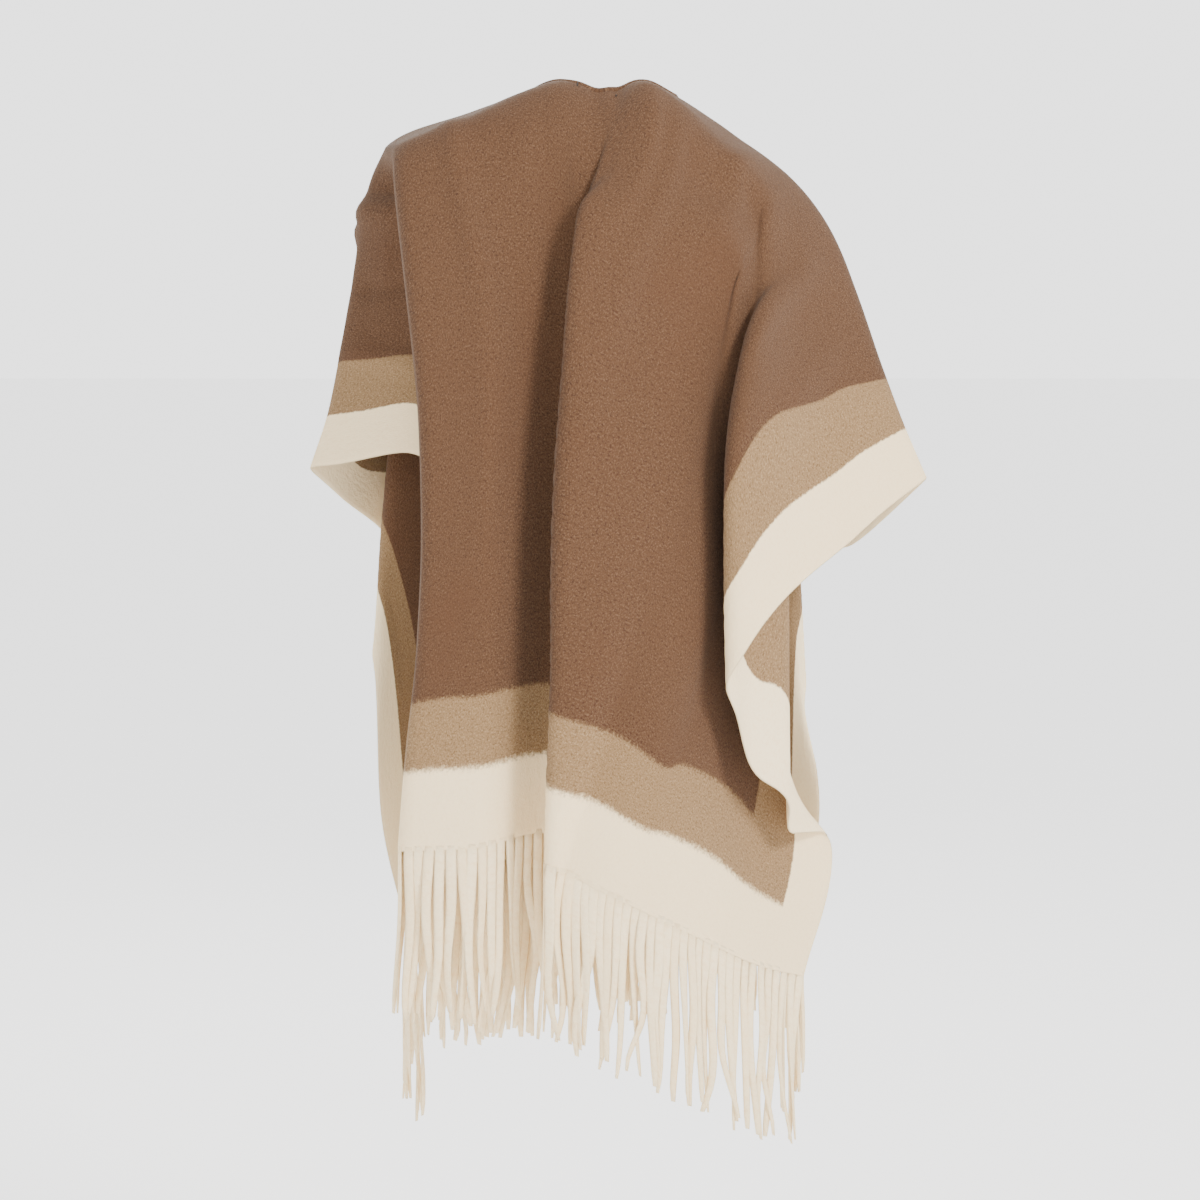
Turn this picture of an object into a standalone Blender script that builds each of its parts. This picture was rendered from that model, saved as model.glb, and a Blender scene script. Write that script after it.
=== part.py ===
"""Ruana: a worn blanket wrap of brushed wool, folded over the shoulders, open in front.

Metres, +Z up. The wearer faces -Y, so the back panel is at +Y and the wearer's left is +X.
The origin is on the shoulder line at the middle of the neck opening.

The cloth is one oblong with a slit. A point of it has two cut coordinates: ACROSS, from the middle
to a side edge, and ALONG, from the shoulder line to a hem. Every thread of the length keeps its
cut length: a table says where it runs in plan, and what is left of each step is its drop.
"""
import math

import bmesh
import bpy
import numpy as np

# Cut sizes
HALF_WIDTH = 0.600
HALF_LENGTH = 0.750
CLOTH = 0.0026
SEAM = 0.0003
NECK_HALF = 0.085
NECK_BACK_DEPTH = 0.030
NECK_FRONT_DEPTH = 0.170
SLIT_HALF = 0.020
FRINGE_LENGTH = 0.172
STRIP_DEPTH = 0.007
STRAND_PITCH = 0.0119
STRAND_WIDTH = 0.0076
STRAND_TIP_WIDTH = 0.0052
FOLD_RADIUS = 0.009

# Colours
CAMEL = (0.270, 0.155, 0.095, 1.0)
CREAM = (0.780, 0.700, 0.560, 1.0)

# Shoulder line: across, out from the middle, back, drop
RIDGE_RIGHT = (
    (0.000, 0.000, 0.045, -0.012),
    (0.045, 0.045, 0.026, -0.006),
    (0.085, 0.078, 0.000, 0.010),
    (0.150, 0.137, 0.000, 0.048),
    (0.220, 0.195, 0.000, 0.090),
    (0.300, 0.240, 0.000, 0.146),
    (0.380, 0.268, 0.006, 0.212),
    (0.460, 0.290, 0.014, 0.276),
    (0.540, 0.314, 0.024, 0.340),
    (0.600, 0.336, 0.034, 0.392),
)
RIDGE_LEFT = (
    (0.000, 0.000, 0.045, -0.012),
    (0.045, 0.042, 0.026, -0.006),
    (0.085, 0.066, 0.000, 0.004),
    (0.150, 0.130, 0.000, 0.026),
    (0.240, 0.209, 0.000, 0.054),
    (0.300, 0.242, 0.000, 0.106),
    (0.380, 0.255, 0.000, 0.184),
    (0.460, 0.268, 0.000, 0.256),
    (0.540, 0.283, 0.000, 0.329),
    (0.600, 0.302, 0.000, 0.385),
)

# Centre back pleat: along; across, out (to the right), back of its root, its inner fold and its limb
PLEAT = (
    (0.00, -0.030, -0.030, 0.035, 0.000, 0.000, 0.045, 0.030, 0.030, 0.035),
    (0.08, -0.032, -0.032, 0.102, 0.000, -0.003, 0.103, 0.030, 0.026, 0.103),
    (0.14, -0.036, -0.034, 0.122, -0.004, -0.012, 0.124, 0.026, 0.006, 0.130),
    (0.20, -0.042, -0.036, 0.126, 0.000, -0.012, 0.131, 0.044, -0.017, 0.152),
    (0.26, -0.048, -0.037, 0.128, 0.008, 0.002, 0.138, 0.066, -0.024, 0.166),
    (0.36, -0.056, -0.038, 0.130, 0.022, 0.020, 0.142, 0.100, -0.030, 0.178),
    (0.50, -0.060, -0.042, 0.132, 0.040, 0.034, 0.144, 0.140, -0.037, 0.188),
    (0.62, -0.060, -0.047, 0.134, 0.055, 0.044, 0.146, 0.178, -0.042, 0.192),
    (0.75, -0.060, -0.052, 0.136, 0.070, 0.056, 0.148, 0.216, -0.046, 0.196),
)

# Threads of the back's right half: across, radii of its two folds, then along, out, back at each turn.
# The second and fourth turns are the two folds of the cascade below the arm.
BACK_RIGHT = (
    (0.240, 0.000, 0.000, ((0.045, 0.186, 0.042), (0.090, 0.160, 0.076), (0.125, 0.150, 0.092),
                           (0.160, 0.138, 0.111), (0.400, 0.078, 0.156), (0.750, -0.036, 0.198))),
    (0.300, 0.000, 0.000, ((0.070, 0.194, 0.056), (0.150, 0.156, 0.096), (0.190, 0.146, 0.103),
                           (0.230, 0.126, 0.120), (0.420, 0.105, 0.140), (0.750, 0.004, 0.204))),
    (0.360, 0.005, 0.005, ((0.080, 0.202, 0.064), (0.200, 0.140, 0.128), (0.250, 0.150, 0.098),
                           (0.300, 0.168, 0.066), (0.480, 0.122, 0.112), (0.750, 0.045, 0.198))),
    (0.480, 0.010, 0.009, ((0.085, 0.230, 0.070), (0.275, 0.130, 0.160), (0.345, 0.148, 0.128),
                           (0.415, 0.182, 0.084), (0.570, 0.160, 0.075), (0.750, 0.125, 0.158))),
    (0.600, 0.010, 0.006, ((0.105, 0.264, 0.090), (0.335, 0.134, 0.160), (0.420, 0.148, 0.142),
                           (0.495, 0.186, 0.108), (0.610, 0.238, 0.025), (0.750, 0.206, 0.088))),
)

# Threads of the back's left half: across, then along, out, back
BACK_LEFT = (
    (0.150, ((0.12, 0.132, 0.122), (0.36, 0.114, 0.172), (0.75, 0.122, 0.178))),
    (0.500, ((0.12, 0.166, 0.054), (0.36, 0.030, 0.078), (0.75, 0.110, 0.098))),
    (0.600, ((0.13, 0.174, 0.058), (0.36, 0.005, 0.060), (0.75, 0.165, 0.086))),
)
# Its two long folds: along, across, out, back
LIMB_LEFT = (
    (0.00, 0.240, 0.209, 0.000),
    (0.12, 0.240, 0.196, 0.118),
    (0.24, 0.240, 0.180, 0.152),
    (0.36, 0.240, 0.168, 0.162),
    (0.46, 0.240, 0.165, 0.164),
    (0.56, 0.240, 0.171, 0.164),
    (0.66, 0.240, 0.183, 0.163),
    (0.75, 0.240, 0.190, 0.162),
)
INNER_LEFT = (
    (0.00, 0.310, 0.244, 0.000),
    (0.12, 0.310, 0.150, 0.080),
    (0.24, 0.340, 0.098, 0.098),
    (0.36, 0.370, 0.066, 0.102),
    (0.75, 0.420, 0.060, 0.112),
)

# Open waves of each front: along; across, out, forward of a trough, a crest and the trough by the arm
WAVE_FRONT = (
    (0.00, 0.095, 0.085, 0.000, 0.135, 0.123, 0.000, 0.180, 0.162, 0.000),
    (0.10, 0.085, 0.078, 0.082, 0.140, 0.120, 0.092, 0.200, 0.158, 0.080),
    (0.20, 0.080, 0.062, 0.106, 0.145, 0.100, 0.134, 0.215, 0.138, 0.102),
    (0.36, 0.076, 0.056, 0.116, 0.150, 0.088, 0.162, 0.228, 0.122, 0.110),
    (0.55, 0.076, 0.056, 0.120, 0.152, 0.086, 0.176, 0.234, 0.122, 0.118),
    (0.75, 0.078, 0.058, 0.130, 0.155, 0.088, 0.178, 0.240, 0.124, 0.160),
)
# Slit edge of each front: along, out, forward
SLIT_EDGE = (
    (0.00, 0.020, 0.036),
    (0.10, 0.028, 0.086),
    (0.18, 0.028, 0.110),
    (0.40, 0.028, 0.138),
    (0.75, 0.034, 0.150),
)

# Threads of the fronts, the same way as on the back, with forward for back
FRONT_RIGHT = (
    (0.300, 0.002, 0.002, ((0.070, 0.206, 0.056), (0.140, 0.172, 0.096), (0.180, 0.161, 0.100),
                           (0.220, 0.150, 0.100), (0.420, 0.138, 0.100), (0.750, 0.152, 0.184))),
    (0.360, 0.007, 0.007, ((0.080, 0.214, 0.062), (0.188, 0.158, 0.138), (0.238, 0.172, 0.100),
                           (0.285, 0.190, 0.060), (0.480, 0.156, 0.082), (0.750, 0.180, 0.168))),
    (0.480, 0.010, 0.009, ((0.100, 0.236, 0.060), (0.260, 0.152, 0.158), (0.322, 0.172, 0.112),
                           (0.380, 0.198, 0.066), (0.570, 0.176, 0.056), (0.750, 0.212, 0.105))),
    (0.600, 0.010, 0.006, ((0.130, 0.266, 0.050), (0.330, 0.158, 0.158), (0.400, 0.182, 0.108),
                           (0.465, 0.212, 0.056), (0.600, 0.226, -0.010), (0.750, 0.192, 0.010))),
)
FRONT_LEFT = (
    (0.300, 0.002, 0.002, ((0.060, 0.211, 0.048), (0.120, 0.182, 0.080), (0.155, 0.172, 0.084),
                           (0.190, 0.163, 0.086), (0.400, 0.140, 0.096), (0.750, 0.152, 0.182))),
    (0.360, 0.006, 0.006, ((0.068, 0.218, 0.050), (0.145, 0.180, 0.104), (0.190, 0.188, 0.074),
                           (0.235, 0.200, 0.040), (0.440, 0.158, 0.076), (0.750, 0.180, 0.166))),
    (0.480, 0.009, 0.008, ((0.085, 0.240, 0.052), (0.205, 0.184, 0.126), (0.260, 0.200, 0.084),
                           (0.315, 0.218, 0.040), (0.500, 0.186, 0.046), (0.750, 0.206, 0.105))),
    (0.600, 0.010, 0.005, ((0.060, 0.274, 0.042), (0.255, 0.194, 0.126), (0.320, 0.212, 0.078),
                           (0.385, 0.232, 0.022), (0.560, 0.226, -0.008), (0.750, 0.190, 0.010))),
)

SLEEVE_LIFT = 0.028

# Hem drops: across (right positive on the back), drop
HEM_BACK = (
    (-0.600, 0.800), (-0.500, 0.792), (-0.420, 0.784), (-0.300, 0.766), (-0.240, 0.758), (-0.160, 0.754),
    (-0.070, 0.744), (0.080, 0.756), (0.220, 0.770), (0.300, 0.794), (0.360, 0.815), (0.420, 0.837),
    (0.480, 0.860), (0.540, 0.882), (0.600, 0.898),
)
HEM_FRONT_RIGHT = (
    (0.020, 0.752), (0.120, 0.758), (0.240, 0.782), (0.360, 0.822), (0.480, 0.862), (0.600, 0.892),
)
HEM_FRONT_LEFT = (
    (0.020, 0.750), (0.120, 0.760), (0.240, 0.790), (0.360, 0.830), (0.480, 0.872), (0.600, 0.905),
)

# Grid of the fine plan from which every solid is read
FINE_ACROSS = 0.004
FINE_ALONG = 0.010
SMALLEST_DROP = 0.12
# Tightest radius of a fold
SHARPEST = 0.0015
# Rows of a wall: shoulder to the cascade's first fold, on to its second, on to the hem
ROWS = (6, 5, 11)
# Shares of the length where a plain column's rows draw together
PLAIN_ROWS = (0.0, 0.2, 0.38, 1.0)


def pchip(x, y, q):
    """Monotone cubic through the points x, y, read at q; straight beyond both ends."""
    x, y, q = np.asarray(x, float), np.asarray(y, float), np.asarray(q, float)
    h = np.diff(x)
    slope = np.diff(y) / h
    d = np.empty_like(y)
    d[0], d[-1] = slope[0], slope[-1]
    for i in range(1, len(x) - 1):
        if slope[i - 1] * slope[i] <= 0:
            d[i] = 0.0
        else:
            a, b = 2 * h[i] + h[i - 1], h[i] + 2 * h[i - 1]
            d[i] = (a + b) / (a / slope[i - 1] + b / slope[i])
    k = np.clip(np.searchsorted(x, q) - 1, 0, len(h) - 1)
    s = (q - x[k]) / h[k]
    inside = np.clip(s, 0.0, 1.0)
    value = (y[k] * (1 + 2 * inside) * (1 - inside) ** 2 + y[k + 1] * inside ** 2 * (3 - 2 * inside)
             + h[k] * inside * (1 - inside) * (d[k] * (1 - inside) - d[k + 1] * inside))
    below, above = np.minimum(s, 0.0), np.maximum(s - 1.0, 0.0)
    return value + h[k] * (below * d[k] + above * d[k + 1])


def ramp(value, low, high):
    """0 below low, 1 above high, smooth between."""
    x = np.clip((value - low) / (high - low), 0.0, 1.0)
    return x * x * (3 - 2 * x)


def column(table, index):
    return [row[index] for row in table]


def ridge_point(ridge, across):
    """Out, back and drop of the shoulder line."""
    return tuple(float(pchip(column(ridge, 0), column(ridge, i), across)) for i in (1, 2, 3))


def thread(ridge, across, turns, side_fold, along):
    """Plan path of one plain thread."""
    out, back, _ = ridge_point(ridge, across)
    t, o, b = zip((0.0, out, side_fold * back), *turns)
    return pchip(t, o, along), pchip(t, b, along)


def folded_threads(ridge, rows, side_fold, across, along):
    """Plan of many threads whose second and fourth turns are rounded folds running on from thread to thread."""
    stations = column(rows, 0)
    over, under = (np.maximum(pchip(stations, column(rows, i), across), SHARPEST) for i in (1, 2))
    turns = [[pchip(stations, [row[3][k][i] for row in rows], across) for i in range(3)] for k in range(6)]
    out, back = np.empty((2, len(along), len(across)))
    for c, u in enumerate(across):
        o, b, _ = ridge_point(ridge, u)
        knots = [(0.0, o, side_fold * b)]
        for turn, tip in zip(turns, (0.0, -over[c], 0.0, under[c], 0.0, 0.0)):
            t, o, b = (float(v[c]) for v in turn)
            rho = abs(tip)
            reach = 0.8 * math.pi * rho
            knots += [(t - reach, o, b + rho), (t, o + tip, b), (t + reach, o, b - rho)] if rho else [(t, o, b)]
        t, o, b = zip(*knots)
        out[:, c], back[:, c] = pchip(t, o, along), pchip(t, b, along)
    return out, back


def smooth_along(values, passes):
    """Softens rows of a plan along the threads and keeps the first and last row."""
    for _ in range(passes):
        inner = 0.25 * values[:-2] + 0.5 * values[1:-1] + 0.25 * values[2:]
        values = np.concatenate([values[:1], inner, values[-1:]])
    return values


def drop_of(out, back, step, start):
    """What is left of each thread's step once its way in plan is taken."""
    way = np.diff(out, axis=0) ** 2 + np.diff(back, axis=0) ** 2
    fall = np.sqrt(np.maximum(step ** 2 - way, (SMALLEST_DROP * step) ** 2))
    return start + np.vstack([np.zeros(out.shape[1]), np.cumsum(fall, axis=0)])


def read_table(table, along):
    return [pchip(column(table, 0), column(table, i), along) for i in range(1, len(table[0]))]


def pleat_stations(table, low, high, along):
    """Stations of a pleat: its root, then its inner fold and its limb, both rounded."""
    ue, oe, be, ui, oi, bi, ul, ol, bl = read_table(table, along)
    grow = ramp(along, low, high)
    radius = FOLD_RADIUS * grow
    reach = 0.45 * math.pi * FOLD_RADIUS
    flat = reach * (1 - grow)
    return [(ue, oe, be),
            (ui - reach, oi - flat, bi - radius), (ui, oi + radius, bi), (ui + reach, oi + flat, bi + radius),
            (ul - reach, ol - flat, bl - radius), (ul, ol - radius, bl), (ul + reach, ol + flat, bl + radius)]


def stations_back(along):
    """Stations of the back in order across: each has across, out (right positive), back by level."""
    rows = []
    flat = np.ones_like(along)
    for across, turns in reversed(BACK_LEFT[1:]):
        o, b = thread(RIDGE_LEFT, across, turns, 1, along)
        rows.append((-across * flat, -o, b))
    grow = ramp(along, 0.02, 0.14)
    radius = FOLD_RADIUS * grow
    reach = 0.45 * math.pi * FOLD_RADIUS
    natural = reach * (1 - grow)
    for table, tip in ((INNER_LEFT, 1), (LIMB_LEFT, -1)):
        u, o, b = read_table(table, along)
        rows += [(-u - reach, -o - natural, b - radius), (-u, -o + tip * radius, b),
                 (-u + reach, -o + natural, b + radius)]
    across, turns = BACK_LEFT[0]
    o, b = thread(RIDGE_LEFT, across, turns, 1, along)
    rows.append((-across * flat, -o, b))
    return rows + pleat_stations(PLEAT, 0.12, 0.30, along)


def stations_front(along):
    """Stations of a front up to its wing: each has across, out, forward by level."""
    wave = read_table(WAVE_FRONT, along)
    slit = [SLIT_HALF * np.ones_like(along)] + read_table(SLIT_EDGE, along)
    return [tuple(slit)] + [tuple(wave[i:i + 3]) for i in (0, 3, 6)]


def plan(rows, ridge, threads, side_fold, across, along):
    """Out and back of every thread at every level: stations up to the wing, then its threads."""
    wing = across >= threads[0][0] - 1e-9
    out, back = np.empty((2, len(along), len(across)))
    out[:, wing], back[:, wing] = folded_threads(ridge, threads, side_fold, across[wing], along)
    first = int(np.argmax(wing))
    for level in range(len(along)):
        u = [row[0][level] for row in rows]
        o = [row[1][level] for row in rows]
        b = [row[2][level] for row in rows]
        gap = across[first] - u[-1]
        if gap > 0.03:
            u.append(u[-1] + 0.5 * gap)
            o.append(0.5 * (o[-1] + out[level, first]))
            b.append(0.5 * (b[-1] + back[level, first]) + 0.006)
        for k in (0, 4):
            u.append(max(across[first + k], u[-1] + 0.004))
            o.append(out[level, first + k])
            b.append(back[level, first + k])
        out[level, :first] = pchip(u, o, across[:first])
        back[level, :first] = pchip(u, b, across[:first])
    out, back = smooth_along(out, 2), smooth_along(back, 2)
    fade = 1 - ramp(along, 0.0, 0.05)[:, None]
    line = ridge_line(ridge, across)
    return out + fade * (line[0] - out[0]), back + fade * (side_fold * line[1] - back[0])


def ridge_line(ridge, across):
    """Out and back of the shoulder line, the back's left half on its own table."""
    line = [pchip(column(ridge, 0), column(ridge, i), np.abs(across)) for i in (1, 2)]
    left = [pchip(column(RIDGE_LEFT, 0), column(RIDGE_LEFT, i), np.abs(across)) for i in (1, 2)]
    return [np.where(across < 0, -left[0], line[0]), np.where(across < 0, left[1], line[1])]


def ridge_drop(across):
    right = pchip(column(RIDGE_RIGHT, 0), column(RIDGE_RIGHT, 3), np.abs(across))
    left = pchip(column(RIDGE_LEFT, 0), column(RIDGE_LEFT, 3), np.abs(across))
    return np.where(across > 0, right, left)


def sleeve_lift(across, along):
    """How far the back's left side is gathered up behind the arm."""
    rise = ramp(along, 0.0, 0.12) * (1 - ramp(along, 0.18, 0.42))
    return SLEEVE_LIFT * rise[:, None] * ramp(-across, 0.30, 0.60)


class Drape:
    """One panel's middle surface as a fine grid, read by cut coordinates."""

    def __init__(self, kind):
        step = FINE_ALONG
        self.along = np.arange(0.0, HALF_LENGTH + 0.5 * step, step)
        if kind == "back":
            self.across = np.arange(-HALF_WIDTH, HALF_WIDTH + 0.001, FINE_ACROSS)
            rows = stations_back(self.along)
            out, back = plan(rows, RIDGE_RIGHT, BACK_RIGHT, 1, self.across, self.along)
            start, hem, out_side = ridge_drop(self.across), HEM_BACK, 1
        else:
            ridge, threads, hem, out_side = ((RIDGE_RIGHT, FRONT_RIGHT, HEM_FRONT_RIGHT, 1) if kind == "right"
                                             else (RIDGE_LEFT, FRONT_LEFT, HEM_FRONT_LEFT, -1))
            self.across = np.arange(0.0, HALF_WIDTH + 0.001, FINE_ACROSS)
            rows = stations_front(self.along)
            out, back = plan(rows, ridge, threads, -1, self.across, self.along)
            start = ridge_drop(out_side * self.across)
            out, back = out_side * out, -back
        drop = drop_of(out, back, step, start)
        aim = pchip(column(hem, 0), column(hem, 1), self.across)
        self.ease = (aim - start) / (drop[-1] - start)
        drop = start + (drop - start) * self.ease
        if kind == "back":
            drop -= sleeve_lift(self.across, self.along)
        for _ in range(3):
            drop[:, 1:-1] = 0.25 * drop[:, :-2] + 0.5 * drop[:, 1:-1] + 0.25 * drop[:, 2:]
        self.points = np.stack([-out, back, -drop], axis=2)
        self.side = -1 if kind == "left" else 1
        self.front = kind != "back"

    def at(self, across, along):
        """Points of the middle surface; ALONG may run past the hem, where it goes on straight."""
        a = (across * self.side if self.front else across) - self.across[0]
        a = np.clip(a / FINE_ACROSS, 0, len(self.across) - 1.001)
        t = np.clip(along / FINE_ALONG, 0, None)
        i = np.clip(np.floor(a).astype(int), 0, len(self.across) - 2)
        j = np.clip(np.floor(t).astype(int), 0, len(self.along) - 2)
        a, t = (a - i)[..., None], (t - j)[..., None]
        p = self.points
        return ((1 - t) * ((1 - a) * p[j, i] + a * p[j, i + 1])
                + t * ((1 - a) * p[j + 1, i] + a * p[j + 1, i + 1]))


def spread(stops, counts):
    """Values through the stops, drawn together at each stop."""
    values = [stops[0]]
    for low, high, count in zip(stops[:-1], stops[1:], counts):
        for k in range(1, count + 1):
            x = k / count
            x = 0.45 * x + 0.55 * (0.5 - 0.5 * math.cos(math.pi * x))
            values.append(low + (high - low) * x)
    return values


def fold_at(table, index, share, cut):
    """Across value of a fold where the row at this share of the cut length meets it."""
    across = float(pchip(column(table, 0), column(table, index), HALF_LENGTH * share))
    for _ in range(3):
        top = float(cut(np.array([across]))[0])
        across = float(pchip(column(table, 0), column(table, index), top + (HALF_LENGTH - top) * share))
    return across


def back_columns(share):
    """Across values of the back's columns in one row; they follow its folds."""
    pleat = [fold_at(PLEAT, i, share, neck_cut_back) for i in (1, 4, 7)]
    inner = -fold_at(INNER_LEFT, 1, share, neck_cut_back)
    stops = [-HALF_WIDTH, inner, -0.240, pleat[0], pleat[1], pleat[2], max(0.25, pleat[2] + 0.02), HALF_WIDTH]
    return spread(stops, (6, 6, 6, 5, 6, 4, 15))


def front_columns(share):
    """Across values of a front's columns in one row; they follow its folds."""
    wave = [fold_at(WAVE_FRONT, i, share, neck_cut_front) for i in (1, 4, 7)]
    return spread([SLIT_HALF] + wave + [0.29, HALF_WIDTH], (3, 4, 4, 3, 13))


def row_shares(across, threads, calm):
    """Shares of the length for a column's rows; on the wing they draw together at its folds.

    Columns further in than CALM have plain rows.
    """
    stations = column(threads, 0)
    inside = np.maximum(across, stations[0])
    over = pchip(stations, [row[3][1][0] for row in threads], inside) / HALF_LENGTH
    under = pchip(stations, [row[3][3][0] for row in threads], inside) / HALF_LENGTH
    fade = ramp(across, calm, stations[0])
    over = fade * over + (1 - fade) * PLAIN_ROWS[1]
    under = fade * under + (1 - fade) * PLAIN_ROWS[2]
    return np.array([spread([0.0, o, u, 1.0], ROWS) for o, u in zip(over, under)]).T


def grid_normals(points):
    """Unit normals at a grid's points, from the faces round each, all counted alike."""
    face = np.cross(points[1:, 1:] - points[:-1, :-1], points[1:, :-1] - points[:-1, 1:])
    face /= np.maximum(np.linalg.norm(face, axis=2, keepdims=True), 1e-12)
    total = np.zeros_like(points)
    for j in (slice(None, -1), slice(1, None)):
        for i in (slice(None, -1), slice(1, None)):
            total[j, i] += face
    return total / np.maximum(np.linalg.norm(total, axis=2, keepdims=True), 1e-12)


def meet_at_shoulder(drape, across, top, middle, normal):
    """Turns the first row's end face upright along the shoulder line, the same for back and front."""
    d = 0.006
    zero = np.zeros_like(across)
    line = drape.at(across + d, zero) - drape.at(across - d, zero)
    line /= np.linalg.norm(line, axis=1, keepdims=True)
    run = np.array([0.0, -1.0 if drape.front else 1.0, 0.0]) * np.ones_like(line)
    run -= line * (run * line).sum(axis=1, keepdims=True)
    run /= np.linalg.norm(run, axis=1, keepdims=True)
    up = np.cross(line, run)
    up *= np.sign(up[:, 2:])
    seam = top < SEAM
    normal[0][seam] = up[seam]
    middle[0][seam] = (drape.at(across, zero) + 0.5 * SEAM * run)[seam]


def panel(drape, name, columns_at, threads, calm, cut, side):
    """Wall of one panel; gives back its hem for the fringe."""
    count = sum(ROWS) + 1
    level = np.array(spread(PLAIN_ROWS, ROWS))
    across = np.array([columns_at(x) for x in level])
    shares = np.array([row_shares(across[r], threads, calm)[r] for r in range(count)])
    across = across * side
    top = cut(across)
    along = top + (HALF_LENGTH - top) * shares
    middle = drape.at(across, along)
    normal = grid_normals(middle) * (side if drape.front else -1)
    meet_at_shoulder(drape, across[0], top[0], middle, normal)
    bm = bmesh.new()
    wall(bm, middle, normal)
    finish(bm, name, CAMEL)
    run = middle[-1] - drape.at(across[-1], along[-1] - 0.02)
    run /= np.linalg.norm(run, axis=1, keepdims=True)
    order = np.argsort(across[-1])
    return across[-1][order], middle[-1][order], normal[-1][order], run[order]


def wall(bm, middle, normal):
    """Adds a closed wall round a grid of middle points."""
    rows, cols = middle.shape[:2]
    faces = []
    for sign in (0.5, -0.5):
        pts = middle + sign * CLOTH * normal
        faces.append([[bm.verts.new(pts[j, i]) for i in range(cols)] for j in range(rows)])
    outer, inner = faces
    for j in range(rows - 1):
        for i in range(cols - 1):
            bm.faces.new((outer[j][i], outer[j][i + 1], outer[j + 1][i + 1], outer[j + 1][i]))
            bm.faces.new((inner[j][i], inner[j + 1][i], inner[j + 1][i + 1], inner[j][i + 1]))
    rim = ([(0, i) for i in range(cols)] + [(j, cols - 1) for j in range(1, rows)]
           + [(rows - 1, i) for i in range(cols - 2, -1, -1)] + [(j, 0) for j in range(rows - 2, 0, -1)])
    for (j0, i0), (j1, i1) in zip(rim, rim[1:] + rim[:1]):
        bm.faces.new((outer[j0][i0], inner[j0][i0], inner[j1][i1], outer[j1][i1]))


def neck_cut_back(across):
    x = np.clip(np.abs(across) / NECK_HALF, 0.0, 1.0)
    return NECK_BACK_DEPTH * np.sqrt(1 - x * x) + 0.5 * SEAM


def neck_cut_front(across):
    x = np.clip((NECK_HALF - np.abs(across)) / (NECK_HALF - SLIT_HALF), 0.0, 1.0)
    return NECK_FRONT_DEPTH * x ** 1.5 + 0.5 * SEAM


def make_material(name, colour):
    material = bpy.data.materials.new(name)
    material.use_nodes = True
    shader = material.node_tree.nodes["Principled BSDF"]
    shader.inputs["Base Color"].default_value = colour
    shader.inputs["Roughness"].default_value = 0.95
    shader.inputs["Metallic"].default_value = 0.0
    return material


def finish(bm, name, colour):
    bmesh.ops.recalc_face_normals(bm, faces=bm.faces)
    mesh = bpy.data.meshes.new(name)
    bm.to_mesh(mesh)
    bm.free()
    for polygon in mesh.polygons:
        polygon.use_smooth = True
    mesh.materials.append(make_material(name + "_cloth", colour))
    bpy.context.scene.collection.objects.link(bpy.data.objects.new(name, mesh))


def sway(number, seed):
    """Small repeatable unevenness from -1 to 1."""
    x = math.sin(number * 12.9898 + seed * 78.233) * 43758.5453
    return 2.0 * (x - math.floor(x)) - 1.0


def on_hem(hem, across):
    """Point, normal and run of the thread on a panel's hem, straight from column to column."""
    return [np.stack([np.interp(across, hem[0], part[:, i]) for i in range(3)], axis=1) for part in hem[1:]]


def fringe(hem, name, low, high, seed):
    """Narrow strip along a hem with its strands, one closed body."""
    count = int(round((high - low) / STRAND_PITCH))
    pitch = (high - low) / count
    edges = [low]
    for k in range(count):
        middle = low + (k + 0.5) * pitch
        edges += [middle - 0.5 * STRAND_WIDTH, middle + 0.5 * STRAND_WIDTH]
    edges.append(high)
    across = np.array(edges)
    point, normal, run = on_hem(hem, across)
    upper, lower = point + SEAM * run, point + STRIP_DEPTH * run
    bm = bmesh.new()
    rings = []
    for pts in (upper, lower):
        rings.append([[bm.verts.new(p + s * CLOTH * n) for p, n in zip(pts, normal)] for s in (0.5, -0.5)])
    (uo, ui), (lo, li) = rings
    n = len(across)
    for i in range(n - 1):
        bm.faces.new((uo[i], uo[i + 1], lo[i + 1], lo[i]))
        bm.faces.new((ui[i], li[i], li[i + 1], ui[i + 1]))
        bm.faces.new((uo[i], ui[i], ui[i + 1], uo[i + 1]))
        if i % 2 == 0:
            bm.faces.new((lo[i], lo[i + 1], li[i + 1], li[i]))
    for i in (0, n - 1):
        bm.faces.new((uo[i], lo[i], li[i], ui[i]))
    for k in range(count):
        strand(bm, lo, li, 2 * k + 1, k, seed)
    finish(bm, name, CREAM)


def strand(bm, outer, inner, i, number, seed):
    """One strand hung from the strip's foot: four sides, two lengths."""
    ring = [outer[i], outer[i + 1], inner[i + 1], inner[i]]
    start = [np.array(v.co) for v in ring]
    centre = sum(start) / 4
    length = FRINGE_LENGTH - STRIP_DEPTH + 0.006 * sway(number, seed)
    crowding = min(1.0, float(np.linalg.norm(start[1] - start[0])) / STRAND_WIDTH)
    for part in (1, 2):
        share = part / 2
        width = 1 + (STRAND_TIP_WIDTH / STRAND_WIDTH - 1) * share
        aside = crowding * 0.0010 * sway(number, seed + part)
        away = crowding * 0.0014 * sway(number, seed + 5 + part)
        move = np.array([aside, away, 0.0])
        level = centre[2] - length * share
        new = []
        for p in start:
            q = centre + (p - centre) * width
            q = q + move
            q[2] = level + (p[2] - centre[2]) * (1 - share)
            new.append(bm.verts.new(q))
        for a in range(4):
            b = (a + 1) % 4
            bm.faces.new((ring[a], new[a], new[b], ring[b]))
        ring = new
    bm.faces.new(ring)


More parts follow.
